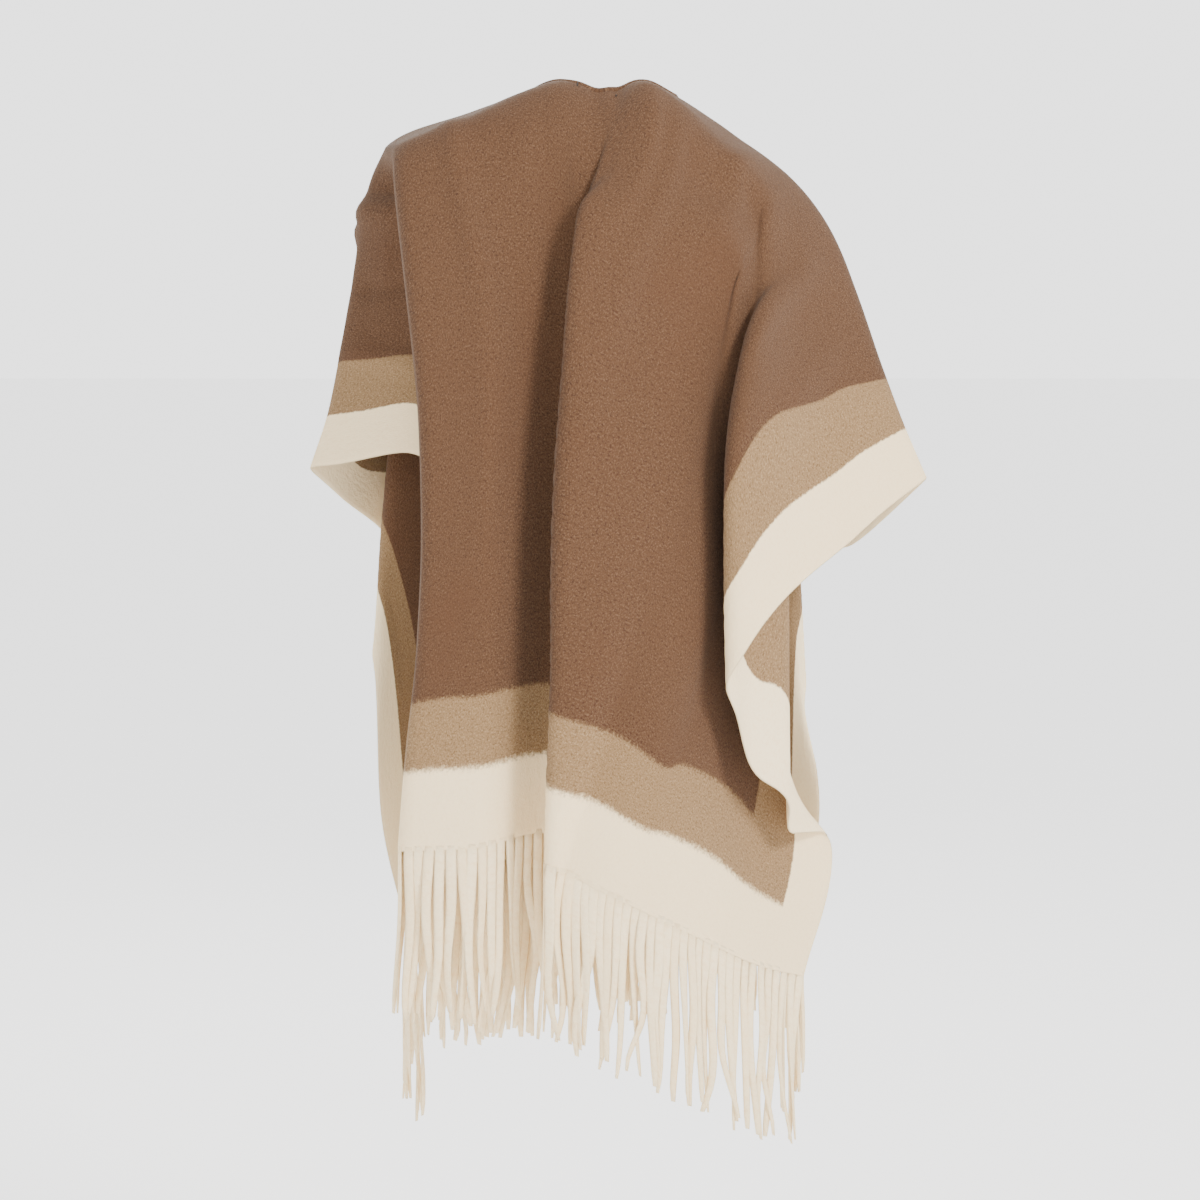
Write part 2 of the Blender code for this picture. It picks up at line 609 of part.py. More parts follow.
def main():
    for item in list(bpy.data.objects):
        bpy.data.objects.remove(item, do_unlink=True)
    back, right, left = Drape("back"), Drape("right"), Drape("left")
    hem = panel(back, "back_panel", back_columns, BACK_RIGHT, 0.08, neck_cut_back, 1)
    fringe(hem, "fringe_back", -HALF_WIDTH, HALF_WIDTH, 1)
    hem = panel(right, "front_right", front_columns, FRONT_RIGHT, 0.18, neck_cut_front, 1)
    fringe(hem, "fringe_front_right", SLIT_HALF, HALF_WIDTH, 2)
    hem = panel(left, "front_left", front_columns, FRONT_LEFT, 0.18, neck_cut_front, -1)
    fringe(hem, "fringe_front_left", -HALF_WIDTH, -SLIT_HALF, 3)


main()
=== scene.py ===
"""Looks of a worn ruana: brushed wool with woven borders, a turned neck edge and a cut fringe.

The cloth is one oblong with two cut coordinates: ACROSS, from the middle to a side edge, and ALONG,
from the shoulder line to a hem. The tables give its drape; creases too soft for the solids come after.
"""
import math

import bpy
import numpy as np
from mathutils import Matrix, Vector


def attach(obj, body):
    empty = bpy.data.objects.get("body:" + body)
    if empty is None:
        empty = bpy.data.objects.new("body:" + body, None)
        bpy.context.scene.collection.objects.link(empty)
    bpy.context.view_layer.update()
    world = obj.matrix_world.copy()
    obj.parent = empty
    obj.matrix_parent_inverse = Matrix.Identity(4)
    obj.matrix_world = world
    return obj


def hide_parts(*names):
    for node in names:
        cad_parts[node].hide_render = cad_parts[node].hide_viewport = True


# Cut sizes, the gap at a seam, the strands' pitch and the folds' radius
HALF_WIDTH = 0.600
HALF_LENGTH = 0.750
SEAM = 0.0003
NECK_HALF = 0.085
NECK_BACK_DEPTH = 0.030
NECK_FRONT_DEPTH = 0.170
SLIT_HALF = 0.020
FRINGE_LENGTH = 0.172
STRAND_PITCH = 0.0119
FOLD_RADIUS = 0.009

# Shoulder line: across, out from the middle, back, drop
RIDGE_RIGHT = (
    (0.000, 0.000, 0.045, -0.012),
    (0.045, 0.045, 0.026, -0.006),
    (0.085, 0.078, 0.000, 0.010),
    (0.150, 0.137, 0.000, 0.048),
    (0.220, 0.195, 0.000, 0.090),
    (0.300, 0.240, 0.000, 0.146),
    (0.380, 0.268, 0.006, 0.212),
    (0.460, 0.290, 0.014, 0.276),
    (0.540, 0.314, 0.024, 0.340),
    (0.600, 0.336, 0.034, 0.392),
)
RIDGE_LEFT = (
    (0.000, 0.000, 0.045, -0.012),
    (0.045, 0.042, 0.026, -0.006),
    (0.085, 0.066, 0.000, 0.004),
    (0.150, 0.130, 0.000, 0.026),
    (0.240, 0.209, 0.000, 0.054),
    (0.300, 0.242, 0.000, 0.106),
    (0.380, 0.255, 0.000, 0.184),
    (0.460, 0.268, 0.000, 0.256),
    (0.540, 0.283, 0.000, 0.329),
    (0.600, 0.302, 0.000, 0.385),
)

# Centre back pleat: along; across, out (to the right), back of its root, its inner fold and its limb
PLEAT = (
    (0.00, -0.030, -0.030, 0.035, 0.000, 0.000, 0.045, 0.030, 0.030, 0.035),
    (0.08, -0.032, -0.032, 0.102, 0.000, -0.003, 0.103, 0.030, 0.026, 0.103),
    (0.14, -0.036, -0.034, 0.122, -0.004, -0.012, 0.124, 0.026, 0.006, 0.130),
    (0.20, -0.042, -0.036, 0.126, 0.000, -0.012, 0.131, 0.044, -0.017, 0.152),
    (0.26, -0.048, -0.037, 0.128, 0.008, 0.002, 0.138, 0.066, -0.024, 0.166),
    (0.36, -0.056, -0.038, 0.130, 0.022, 0.020, 0.142, 0.100, -0.030, 0.178),
    (0.50, -0.060, -0.042, 0.132, 0.040, 0.034, 0.144, 0.140, -0.037, 0.188),
    (0.62, -0.060, -0.047, 0.134, 0.055, 0.044, 0.146, 0.178, -0.042, 0.192),
    (0.75, -0.060, -0.052, 0.136, 0.070, 0.056, 0.148, 0.216, -0.046, 0.196),
)

# Threads of the back's right half: across, radii of its two folds, then along, out, back at each turn.
# The second and fourth turns are the two folds of the cascade below the arm.
BACK_RIGHT = (
    (0.240, 0.000, 0.000, ((0.045, 0.186, 0.042), (0.090, 0.160, 0.076), (0.125, 0.150, 0.092),
                           (0.160, 0.138, 0.111), (0.400, 0.078, 0.156), (0.750, -0.036, 0.198))),
    (0.300, 0.000, 0.000, ((0.070, 0.194, 0.056), (0.150, 0.156, 0.096), (0.190, 0.146, 0.103),
                           (0.230, 0.126, 0.120), (0.420, 0.105, 0.140), (0.750, 0.004, 0.204))),
    (0.360, 0.005, 0.005, ((0.080, 0.202, 0.064), (0.200, 0.140, 0.128), (0.250, 0.150, 0.098),
                           (0.300, 0.168, 0.066), (0.480, 0.122, 0.112), (0.750, 0.045, 0.198))),
    (0.480, 0.010, 0.009, ((0.085, 0.230, 0.070), (0.275, 0.130, 0.160), (0.345, 0.148, 0.128),
                           (0.415, 0.182, 0.084), (0.570, 0.160, 0.075), (0.750, 0.125, 0.158))),
    (0.600, 0.010, 0.006, ((0.105, 0.264, 0.090), (0.335, 0.134, 0.160), (0.420, 0.148, 0.142),
                           (0.495, 0.186, 0.108), (0.610, 0.238, 0.025), (0.750, 0.206, 0.088))),
)

# Threads of the back's left half: across, then along, out, back
BACK_LEFT = (
    (0.150, ((0.12, 0.132, 0.122), (0.36, 0.114, 0.172), (0.75, 0.122, 0.178))),
    (0.500, ((0.12, 0.166, 0.054), (0.36, 0.030, 0.078), (0.75, 0.110, 0.098))),
    (0.600, ((0.13, 0.174, 0.058), (0.36, 0.005, 0.060), (0.75, 0.165, 0.086))),
)
# Its two long folds: along, across, out, back
LIMB_LEFT = (
    (0.00, 0.240, 0.209, 0.000),
    (0.12, 0.240, 0.196, 0.118),
    (0.24, 0.240, 0.180, 0.152),
    (0.36, 0.240, 0.168, 0.162),
    (0.46, 0.240, 0.165, 0.164),
    (0.56, 0.240, 0.171, 0.164),
    (0.66, 0.240, 0.183, 0.163),
    (0.75, 0.240, 0.190, 0.162),
)
INNER_LEFT = (
    (0.00, 0.310, 0.244, 0.000),
    (0.12, 0.310, 0.150, 0.080),
    (0.24, 0.340, 0.098, 0.098),
    (0.36, 0.370, 0.066, 0.102),
    (0.75, 0.420, 0.060, 0.112),
)

# Open waves of each front: along; across, out, forward of a trough, a crest and the trough by the arm
WAVE_FRONT = (
    (0.00, 0.095, 0.085, 0.000, 0.135, 0.123, 0.000, 0.180, 0.162, 0.000),
    (0.10, 0.085, 0.078, 0.082, 0.140, 0.120, 0.092, 0.200, 0.158, 0.080),
    (0.20, 0.080, 0.062, 0.106, 0.145, 0.100, 0.134, 0.215, 0.138, 0.102),
    (0.36, 0.076, 0.056, 0.116, 0.150, 0.088, 0.162, 0.228, 0.122, 0.110),
    (0.55, 0.076, 0.056, 0.120, 0.152, 0.086, 0.176, 0.234, 0.122, 0.118),
    (0.75, 0.078, 0.058, 0.130, 0.155, 0.088, 0.178, 0.240, 0.124, 0.160),
)
# Slit edge of each front: along, out, forward
SLIT_EDGE = (
    (0.00, 0.020, 0.036),
    (0.10, 0.028, 0.086),
    (0.18, 0.028, 0.110),
    (0.40, 0.028, 0.138),
    (0.75, 0.034, 0.150),
)

# Threads of the fronts, the same way as on the back, with forward for back
FRONT_RIGHT = (
    (0.300, 0.002, 0.002, ((0.070, 0.206, 0.056), (0.140, 0.172, 0.096), (0.180, 0.161, 0.100),
                           (0.220, 0.150, 0.100), (0.420, 0.138, 0.100), (0.750, 0.152, 0.184))),
    (0.360, 0.007, 0.007, ((0.080, 0.214, 0.062), (0.188, 0.158, 0.138), (0.238, 0.172, 0.100),
                           (0.285, 0.190, 0.060), (0.480, 0.156, 0.082), (0.750, 0.180, 0.168))),
    (0.480, 0.010, 0.009, ((0.100, 0.236, 0.060), (0.260, 0.152, 0.158), (0.322, 0.172, 0.112),
                           (0.380, 0.198, 0.066), (0.570, 0.176, 0.056), (0.750, 0.212, 0.105))),
    (0.600, 0.010, 0.006, ((0.130, 0.266, 0.050), (0.330, 0.158, 0.158), (0.400, 0.182, 0.108),
                           (0.465, 0.212, 0.056), (0.600, 0.226, -0.010), (0.750, 0.192, 0.010))),
)
FRONT_LEFT = (
    (0.300, 0.002, 0.002, ((0.060, 0.211, 0.048), (0.120, 0.182, 0.080), (0.155, 0.172, 0.084),
                           (0.190, 0.163, 0.086), (0.400, 0.140, 0.096), (0.750, 0.152, 0.182))),
    (0.360, 0.006, 0.006, ((0.068, 0.218, 0.050), (0.145, 0.180, 0.104), (0.190, 0.188, 0.074),
                           (0.235, 0.200, 0.040), (0.440, 0.158, 0.076), (0.750, 0.180, 0.166))),
    (0.480, 0.009, 0.008, ((0.085, 0.240, 0.052), (0.205, 0.184, 0.126), (0.260, 0.200, 0.084),
                           (0.315, 0.218, 0.040), (0.500, 0.186, 0.046), (0.750, 0.206, 0.105))),
    (0.600, 0.010, 0.005, ((0.060, 0.274, 0.042), (0.255, 0.194, 0.126), (0.320, 0.212, 0.078),
                           (0.385, 0.232, 0.022), (0.560, 0.226, -0.008), (0.750, 0.190, 0.010))),
)

SLEEVE_LIFT = 0.028

# Hem drops: across (right positive on the back), drop
HEM_BACK = (
    (-0.600, 0.800), (-0.500, 0.792), (-0.420, 0.784), (-0.300, 0.766), (-0.240, 0.758), (-0.160, 0.754),
    (-0.070, 0.744), (0.080, 0.756), (0.220, 0.770), (0.300, 0.794), (0.360, 0.815), (0.420, 0.837),
    (0.480, 0.860), (0.540, 0.882), (0.600, 0.898),
)
HEM_FRONT_RIGHT = (
    (0.020, 0.752), (0.120, 0.758), (0.240, 0.782), (0.360, 0.822), (0.480, 0.862), (0.600, 0.892),
)
HEM_FRONT_LEFT = (
    (0.020, 0.750), (0.120, 0.760), (0.240, 0.790), (0.360, 0.830), (0.480, 0.872), (0.600, 0.905),
)

# Grid of the fine plan from which the sheet is read
FINE_ACROSS = 0.004
FINE_ALONG = 0.010
# Least share of a step that goes into the drop
SMALLEST_DROP = 0.12
# Tightest radius of a fold
SHARPEST = 0.0015
# Between the last station and the wing, a gap wider than this gets one more, set outward by the rise
WIDE_GAP = 0.03
GAP_RISE = 0.006


def pchip(x, y, q):
    """Monotone cubic through the points x, y, read at q; straight beyond both ends."""
    x, y, q = np.asarray(x, float), np.asarray(y, float), np.asarray(q, float)
    h = np.diff(x)
    slope = np.diff(y) / h
    d = np.empty_like(y)
    d[0], d[-1] = slope[0], slope[-1]
    for i in range(1, len(x) - 1):
        if slope[i - 1] * slope[i] <= 0:
            d[i] = 0.0
        else:
            a, b = 2 * h[i] + h[i - 1], h[i] + 2 * h[i - 1]
            d[i] = (a + b) / (a / slope[i - 1] + b / slope[i])
    k = np.clip(np.searchsorted(x, q) - 1, 0, len(h) - 1)
    s = (q - x[k]) / h[k]
    inside = np.clip(s, 0.0, 1.0)
    value = (y[k] * (1 + 2 * inside) * (1 - inside) ** 2 + y[k + 1] * inside ** 2 * (3 - 2 * inside)
             + h[k] * inside * (1 - inside) * (d[k] * (1 - inside) - d[k + 1] * inside))
    below, above = np.minimum(s, 0.0), np.maximum(s - 1.0, 0.0)
    return value + h[k] * (below * d[k] + above * d[k + 1])


def ramp(value, low, high):
    """0 below low, 1 above high, smooth between."""
    x = np.clip((value - low) / (high - low), 0.0, 1.0)
    return x * x * (3 - 2 * x)


def column(table, index):
    return [row[index] for row in table]


def ridge_point(ridge, across):
    """Out, back and drop of the shoulder line."""
    return tuple(float(pchip(column(ridge, 0), column(ridge, i), across)) for i in (1, 2, 3))


def thread(ridge, across, turns, side_fold, along):
    """Plan path of one plain thread."""
    out, back, _ = ridge_point(ridge, across)
    t, o, b = zip((0.0, out, side_fold * back), *turns)
    return pchip(t, o, along), pchip(t, b, along)


def folded_threads(ridge, rows, side_fold, across, along):
    """Plan of threads whose second and fourth turns are rounded folds that run from thread to thread."""
    stations = column(rows, 0)
    over, under = (np.maximum(pchip(stations, column(rows, i), across), SHARPEST) for i in (1, 2))
    turns = [[pchip(stations, [row[3][k][i] for row in rows], across) for i in range(3)] for k in range(6)]
    out, back = np.empty((2, len(along), len(across)))
    for c, u in enumerate(across):
        o, b, _ = ridge_point(ridge, u)
        knots = [(0.0, o, side_fold * b)]
        for turn, tip in zip(turns, (0.0, -over[c], 0.0, under[c], 0.0, 0.0)):
            t, o, b = (float(v[c]) for v in turn)
            rho = abs(tip)
            reach = 0.8 * math.pi * rho
            if rho:
                knots += [(t - reach, o, b + rho), (t, o + tip, b), (t + reach, o, b - rho)]
            else:
                knots.append((t, o, b))
        t, o, b = zip(*knots)
        out[:, c], back[:, c] = pchip(t, o, along), pchip(t, b, along)
    return out, back


def smooth_along(values, passes):
    """Softens rows of a plan along the threads and keeps the first and last row."""
    for _ in range(passes):
        inner = 0.25 * values[:-2] + 0.5 * values[1:-1] + 0.25 * values[2:]
        values = np.concatenate([values[:1], inner, values[-1:]])
    return values


def drop_of(out, back, step, start):
    """Drop along each thread: what its way in plan leaves of every step, but never less than a share."""
    way = np.diff(out, axis=0) ** 2 + np.diff(back, axis=0) ** 2
    fall = np.sqrt(np.maximum(step ** 2 - way, (SMALLEST_DROP * step) ** 2))
    return start + np.vstack([np.zeros(out.shape[1]), np.cumsum(fall, axis=0)])


def read_table(table, along):
    return [pchip(column(table, 0), column(table, i), along) for i in range(1, len(table[0]))]


def pleat_stations(table, low, high, along):
    """Stations of a pleat: its root, then its inner fold and its limb, both rounded."""
    ue, oe, be, ui, oi, bi, ul, ol, bl = read_table(table, along)
    grow = ramp(along, low, high)
    radius = FOLD_RADIUS * grow
    reach = 0.45 * math.pi * FOLD_RADIUS
    flat = reach * (1 - grow)
    return [(ue, oe, be),
            (ui - reach, oi - flat, bi - radius), (ui, oi + radius, bi), (ui + reach, oi + flat, bi + radius),
            (ul - reach, ol - flat, bl - radius), (ul, ol - radius, bl), (ul + reach, ol + flat, bl + radius)]


def stations_back(along):
    """Stations of the back in order across: each has across, out (right positive), back by level."""
    rows = []
    flat = np.ones_like(along)
    for across, turns in reversed(BACK_LEFT[1:]):
        o, b = thread(RIDGE_LEFT, across, turns, 1, along)
        rows.append((-across * flat, -o, b))
    grow = ramp(along, 0.02, 0.14)
    radius = FOLD_RADIUS * grow
    reach = 0.45 * math.pi * FOLD_RADIUS
    natural = reach * (1 - grow)
    for table, tip in ((INNER_LEFT, 1), (LIMB_LEFT, -1)):
        u, o, b = read_table(table, along)
        rows += [(-u - reach, -o - natural, b - radius), (-u, -o + tip * radius, b),
                 (-u + reach, -o + natural, b + radius)]
    across, turns = BACK_LEFT[0]
    o, b = thread(RIDGE_LEFT, across, turns, 1, along)
    rows.append((-across * flat, -o, b))
    return rows + pleat_stations(PLEAT, 0.12, 0.30, along)


def stations_front(along):
    """Stations of a front up to its wing: each has across, out, forward by level."""
    wave = read_table(WAVE_FRONT, along)
    slit = [SLIT_HALF * np.ones_like(along)] + read_table(SLIT_EDGE, along)
    return [tuple(slit)] + [tuple(wave[i:i + 3]) for i in (0, 3, 6)]


def plan(rows, ridge, threads, side_fold, across, along):
    """Out and back of every thread at every level: stations up to the wing, then its threads."""
    wing = across >= threads[0][0] - 1e-9
    out, back = np.empty((2, len(along), len(across)))
    out[:, wing], back[:, wing] = folded_threads(ridge, threads, side_fold, across[wing], along)
    first = int(np.argmax(wing))
    for level in range(len(along)):
        u = [row[0][level] for row in rows]
        o = [row[1][level] for row in rows]
        b = [row[2][level] for row in rows]
        gap = across[first] - u[-1]
        if gap > WIDE_GAP:
            u.append(u[-1] + 0.5 * gap)
            o.append(0.5 * (o[-1] + out[level, first]))
            b.append(0.5 * (b[-1] + back[level, first]) + GAP_RISE)
        for k in (0, 4):
            u.append(max(across[first + k], u[-1] + FINE_ACROSS))
            o.append(out[level, first + k])
            b.append(back[level, first + k])
        out[level, :first] = pchip(u, o, across[:first])
        back[level, :first] = pchip(u, b, across[:first])
    out, back = smooth_along(out, 2), smooth_along(back, 2)
    fade = 1 - ramp(along, 0.0, 0.05)[:, None]
    line = ridge_line(ridge, across)
    return out + fade * (line[0] - out[0]), back + fade * (side_fold * line[1] - back[0])


def ridge_line(ridge, across):
    """Out and back of the shoulder line, the back's left half on its own table."""
    line = [pchip(column(ridge, 0), column(ridge, i), np.abs(across)) for i in (1, 2)]
    left = [pchip(column(RIDGE_LEFT, 0), column(RIDGE_LEFT, i), np.abs(across)) for i in (1, 2)]
    return [np.where(across < 0, -left[0], line[0]), np.where(across < 0, left[1], line[1])]


def ridge_drop(across):
    right = pchip(column(RIDGE_RIGHT, 0), column(RIDGE_RIGHT, 3), np.abs(across))
    left = pchip(column(RIDGE_LEFT, 0), column(RIDGE_LEFT, 3), np.abs(across))
    return np.where(across > 0, right, left)


def sleeve_lift(across, along):
    """How far the back's left side is gathered up behind the arm."""
    rise = ramp(along, 0.0, 0.12) * (1 - ramp(along, 0.18, 0.42))
    return SLEEVE_LIFT * rise[:, None] * ramp(-across, 0.30, 0.60)


class Drape:
    """One panel's middle surface as a fine grid, read by cut coordinates."""

    def __init__(self, kind):
        step = FINE_ALONG
        self.along = np.arange(0.0, HALF_LENGTH + 0.5 * step, step)
        if kind == "back":
            self.across = np.arange(-HALF_WIDTH, HALF_WIDTH + 0.001, FINE_ACROSS)
            rows = stations_back(self.along)
            out, back = plan(rows, RIDGE_RIGHT, BACK_RIGHT, 1, self.across, self.along)
            start, hem, out_side = ridge_drop(self.across), HEM_BACK, 1
        else:
            ridge, threads, hem, out_side = ((RIDGE_RIGHT, FRONT_RIGHT, HEM_FRONT_RIGHT, 1) if kind == "right"
                                             else (RIDGE_LEFT, FRONT_LEFT, HEM_FRONT_LEFT, -1))
            self.across = np.arange(0.0, HALF_WIDTH + 0.001, FINE_ACROSS)
            rows = stations_front(self.along)
            out, back = plan(rows, ridge, threads, -1, self.across, self.along)
            start = ridge_drop(out_side * self.across)
            out, back = out_side * out, -back
        drop = drop_of(out, back, step, start)
        aim = pchip(column(hem, 0), column(hem, 1), self.across)
        # The drop is scaled to the hem, so a thread comes out a little longer or shorter than cut
        ease = (aim - start) / (drop[-1] - start)
        drop = start + (drop - start) * ease
        if kind == "back":
            drop -= sleeve_lift(self.across, self.along)
        for _ in range(3):
            drop[:, 1:-1] = 0.25 * drop[:, :-2] + 0.5 * drop[:, 1:-1] + 0.25 * drop[:, 2:]
        self.points = np.stack([-out, back, -drop], axis=2)
        self.side = -1 if kind == "left" else 1
        self.front = kind != "back"


def neck_cut_back(across):
    x = np.clip(np.abs(across) / NECK_HALF, 0.0, 1.0)
    return NECK_BACK_DEPTH * np.sqrt(1 - x * x) + 0.5 * SEAM


def neck_cut_front(across):
    x = np.clip((NECK_HALF - np.abs(across)) / (NECK_HALF - SLIT_HALF), 0.0, 1.0)
    return NECK_FRONT_DEPTH * x ** 1.5 + 0.5 * SEAM


# Colours, linear
BODY_DARK = (0.034, 0.013, 0.006, 1.0)
BODY = (0.080, 0.037, 0.017, 1.0)
BODY_LIGHT = (0.155, 0.088, 0.050, 1.0)
BODY_RED = (0.084, 0.034, 0.015, 1.0)
TAN_DARK = (0.110, 0.060, 0.026, 1.0)
TAN = (0.225, 0.134, 0.062, 1.0)
TAN_LIGHT = (0.355, 0.240, 0.132, 1.0)
# CREAM_DARK gives the cream its random mottling, and it is also the painted shade on the cloth's inner face
CREAM_DARK = (0.920, 0.680, 0.370, 1.0)
CREAM = (0.980, 0.800, 0.510, 1.0)
THREAD_BROWN = (0.085, 0.043, 0.021, 1.0)
THREAD_BLACK = (0.020, 0.016, 0.014, 1.0)
BODY_SHEEN = (1.0, 0.86, 0.72, 1.0)
FRINGE_SHEEN = (1.0, 0.93, 0.82, 1.0)
THREAD_SHEEN = (1.0, 0.95, 0.9, 1.0)
FLOOR_DARK = (0.945, 0.945, 0.945, 1.0)
FLOOR_PALE = (0.965, 0.965, 0.965, 1.0)
WHITE = (1.0, 1.0, 1.0, 1.0)

# Woven borders, from the edge inward: cream, then tan; at the hems the cream ends at the fringe's roots
SIDE_CREAM = 0.056
SIDE_TAN = 0.116
HEM_CREAM = 0.072
HEM_TAN = 0.136

# Sheet's grid and thickness
THICK = 0.0021
WING_COLUMNS = 96
NECK_COLUMNS = 40
SLIT_COLUMNS = 9
SHEET_ROWS = 104
# Rows beside the shoulder line that are rounded, and how often
ROUND_ROWS = 7
ROUND_PASSES = 5

# Places where a fold starts tightly and is eased open: panel, across, along, half width, half length
EASED = (
    ("back", 0.330, 0.210, 0.060, 0.110),
    ("back", -0.370, 0.490, 0.050, 0.120),
    ("left", 0.300, 0.130, 0.060, 0.070),
    ("right", 0.310, 0.160, 0.050, 0.070),
)
EASE_PASSES = 14

# Soft creases: panel, across and along at both ends, half width, depth (below zero is a ridge)
CREASES = (
    ("back", -0.175, 0.060, -0.140, 0.260, 0.016, 0.0060),
    ("back", -0.140, 0.240, -0.150, 0.480, 0.022, 0.0030),
    ("back", -0.090, 0.090, -0.075, 0.300, 0.018, 0.0035),
    ("back", 0.055, 0.050, 0.085, 0.220, 0.015, 0.0050),
    ("back", 0.100, 0.070, 0.130, 0.300, 0.018, 0.0045),
    ("back", 0.120, 0.300, 0.140, 0.600, 0.024, 0.0030),
    ("back", 0.180, 0.020, 0.200, 0.140, 0.016, 0.0045),
    ("back", 0.330, 0.040, 0.400, 0.200, 0.020, 0.0050),
    ("back", 0.430, 0.050, 0.520, 0.210, 0.020, 0.0040),
    ("back", -0.345, -0.120, -0.268, 0.270, 0.013, 0.0065),
    ("back", -0.400, 0.010, -0.375, 0.120, 0.012, -0.0045),
    ("back", -0.470, 0.010, -0.500, 0.100, 0.014, 0.0040),
    ("right", 0.200, 0.060, 0.205, 0.360, 0.022, 0.0025),
    ("right", 0.400, 0.050, 0.460, 0.220, 0.020, 0.0045),
    ("right", 0.070, 0.250, 0.080, 0.600, 0.016, 0.0030),
    ("left", 0.200, 0.060, 0.205, 0.360, 0.022, 0.0025),
    ("left", 0.420, 0.040, 0.480, 0.200, 0.018, 0.0045),
    ("left", 0.345, -0.120, 0.330, 0.160, 0.013, 0.0065),
    ("left", 0.065, 0.260, 0.072, 0.560, 0.016, 0.0030),
)

# Fringe ribbons
RIBBON_WIDTH = 0.0112
RIBBON_TIP = 0.0062
RIBBON_THICK = 0.0024
RIBBON_STEPS = 13
# How unlike they are: shares of length and width, ways in metres, turn in degrees
LENGTH_SPREAD = 0.045
WIDTH_SPREAD = 0.10
LEAN = 0.012
STRAY_LEAN = 0.014
BOW = 0.009
FORTH = 0.008
TURN_DEG = 52
# Share of a ribbon over which it leaves the cloth's own way and falls
FALL_SHARE = 0.12
# Depth of the roots in the hem
ROOT_DEPTH = 0.004


# Slow unevenness of the cloth: radians by metre across and along, start, height
UNEVEN_START = 1.3
UNEVEN_WAVES = (
    (17.0, 9.0, UNEVEN_START, math.sin(UNEVEN_START)),
    (11.0, -23.0, 2.1 * UNEVEN_START, 1.0),
    (31.0, 13.0, 3.7 * UNEVEN_START, 0.6),
)
UNEVEN_SUM = 2.6
UNEVEN_DEPTH = 0.0016


def unevenness(across, along):
    """Slow unevenness of the cloth, about -1 to 1."""
    total = np.zeros_like(across)
    for by_across, by_along, start, height in UNEVEN_WAVES:
        total += height * np.sin(by_across * across + by_along * along + start)
    return total / UNEVEN_SUM


def cubic(v0, v1, v2, v3, s):
    """Smooth curve from v1 to v2."""
    return v1 + 0.5 * s * (v2 - v0 + s * (2 * v0 - 5 * v1 + 4 * v2 - v3 + s * (3 * (v1 - v2) + v3 - v0)))


def surface(drape, across, along):
    """Points of the middle surface, smooth from row to row of the plan."""
    a = (across * drape.side if drape.front else across) - drape.across[0]
    a = np.clip(a / FINE_ACROSS, 0, len(drape.across) - 1.001)
    t = np.clip(along / FINE_ALONG, 0, len(drape.along) - 1.001)
    i, j = np.floor(a).astype(int), np.floor(t).astype(int)
    a, t = (a - i)[..., None], (t - j)[..., None]
    last = len(drape.along) - 1
    rows = []
    for k in (-1, 0, 1, 2):
        level = np.clip(j + k, 0, last)
        rows.append((1 - a) * drape.points[level, i] + a * drape.points[level, i + 1])
    return cubic(*rows, t)


def crease_depth(panel, across, along):
    """Depth of the soft creases at cut coordinates."""
    depth = np.zeros_like(across)
    for name, u0, t0, u1, t1, width, deep in CREASES:
        if name != panel:
            continue
        du, dt = u1 - u0, t1 - t0
        length = math.hypot(du, dt)
        s = ((across - u0) * du + (along - t0) * dt) / length ** 2
        off = ((across - u0) * dt - (along - t0) * du) / length
        ends = np.exp(-(np.maximum(np.abs(s - 0.5) - 0.25, 0.0) / 0.22) ** 2)
        depth += deep * ends * np.exp(-(off / width) ** 2)
    return depth


def face_normals(points, quads):
    p = points[quads]
    return np.cross(p[:, 2] - p[:, 0], p[:, 3] - p[:, 1])


def vertex_normals(points, quads):
    """Unit normals at the points of a grid of quads."""
    face = face_normals(points, quads)
    total = np.zeros_like(points)
    for k in range(4):
        np.add.at(total, quads[:, k], face)
    return total / np.maximum(np.linalg.norm(total, axis=1, keepdims=True), 1e-12)


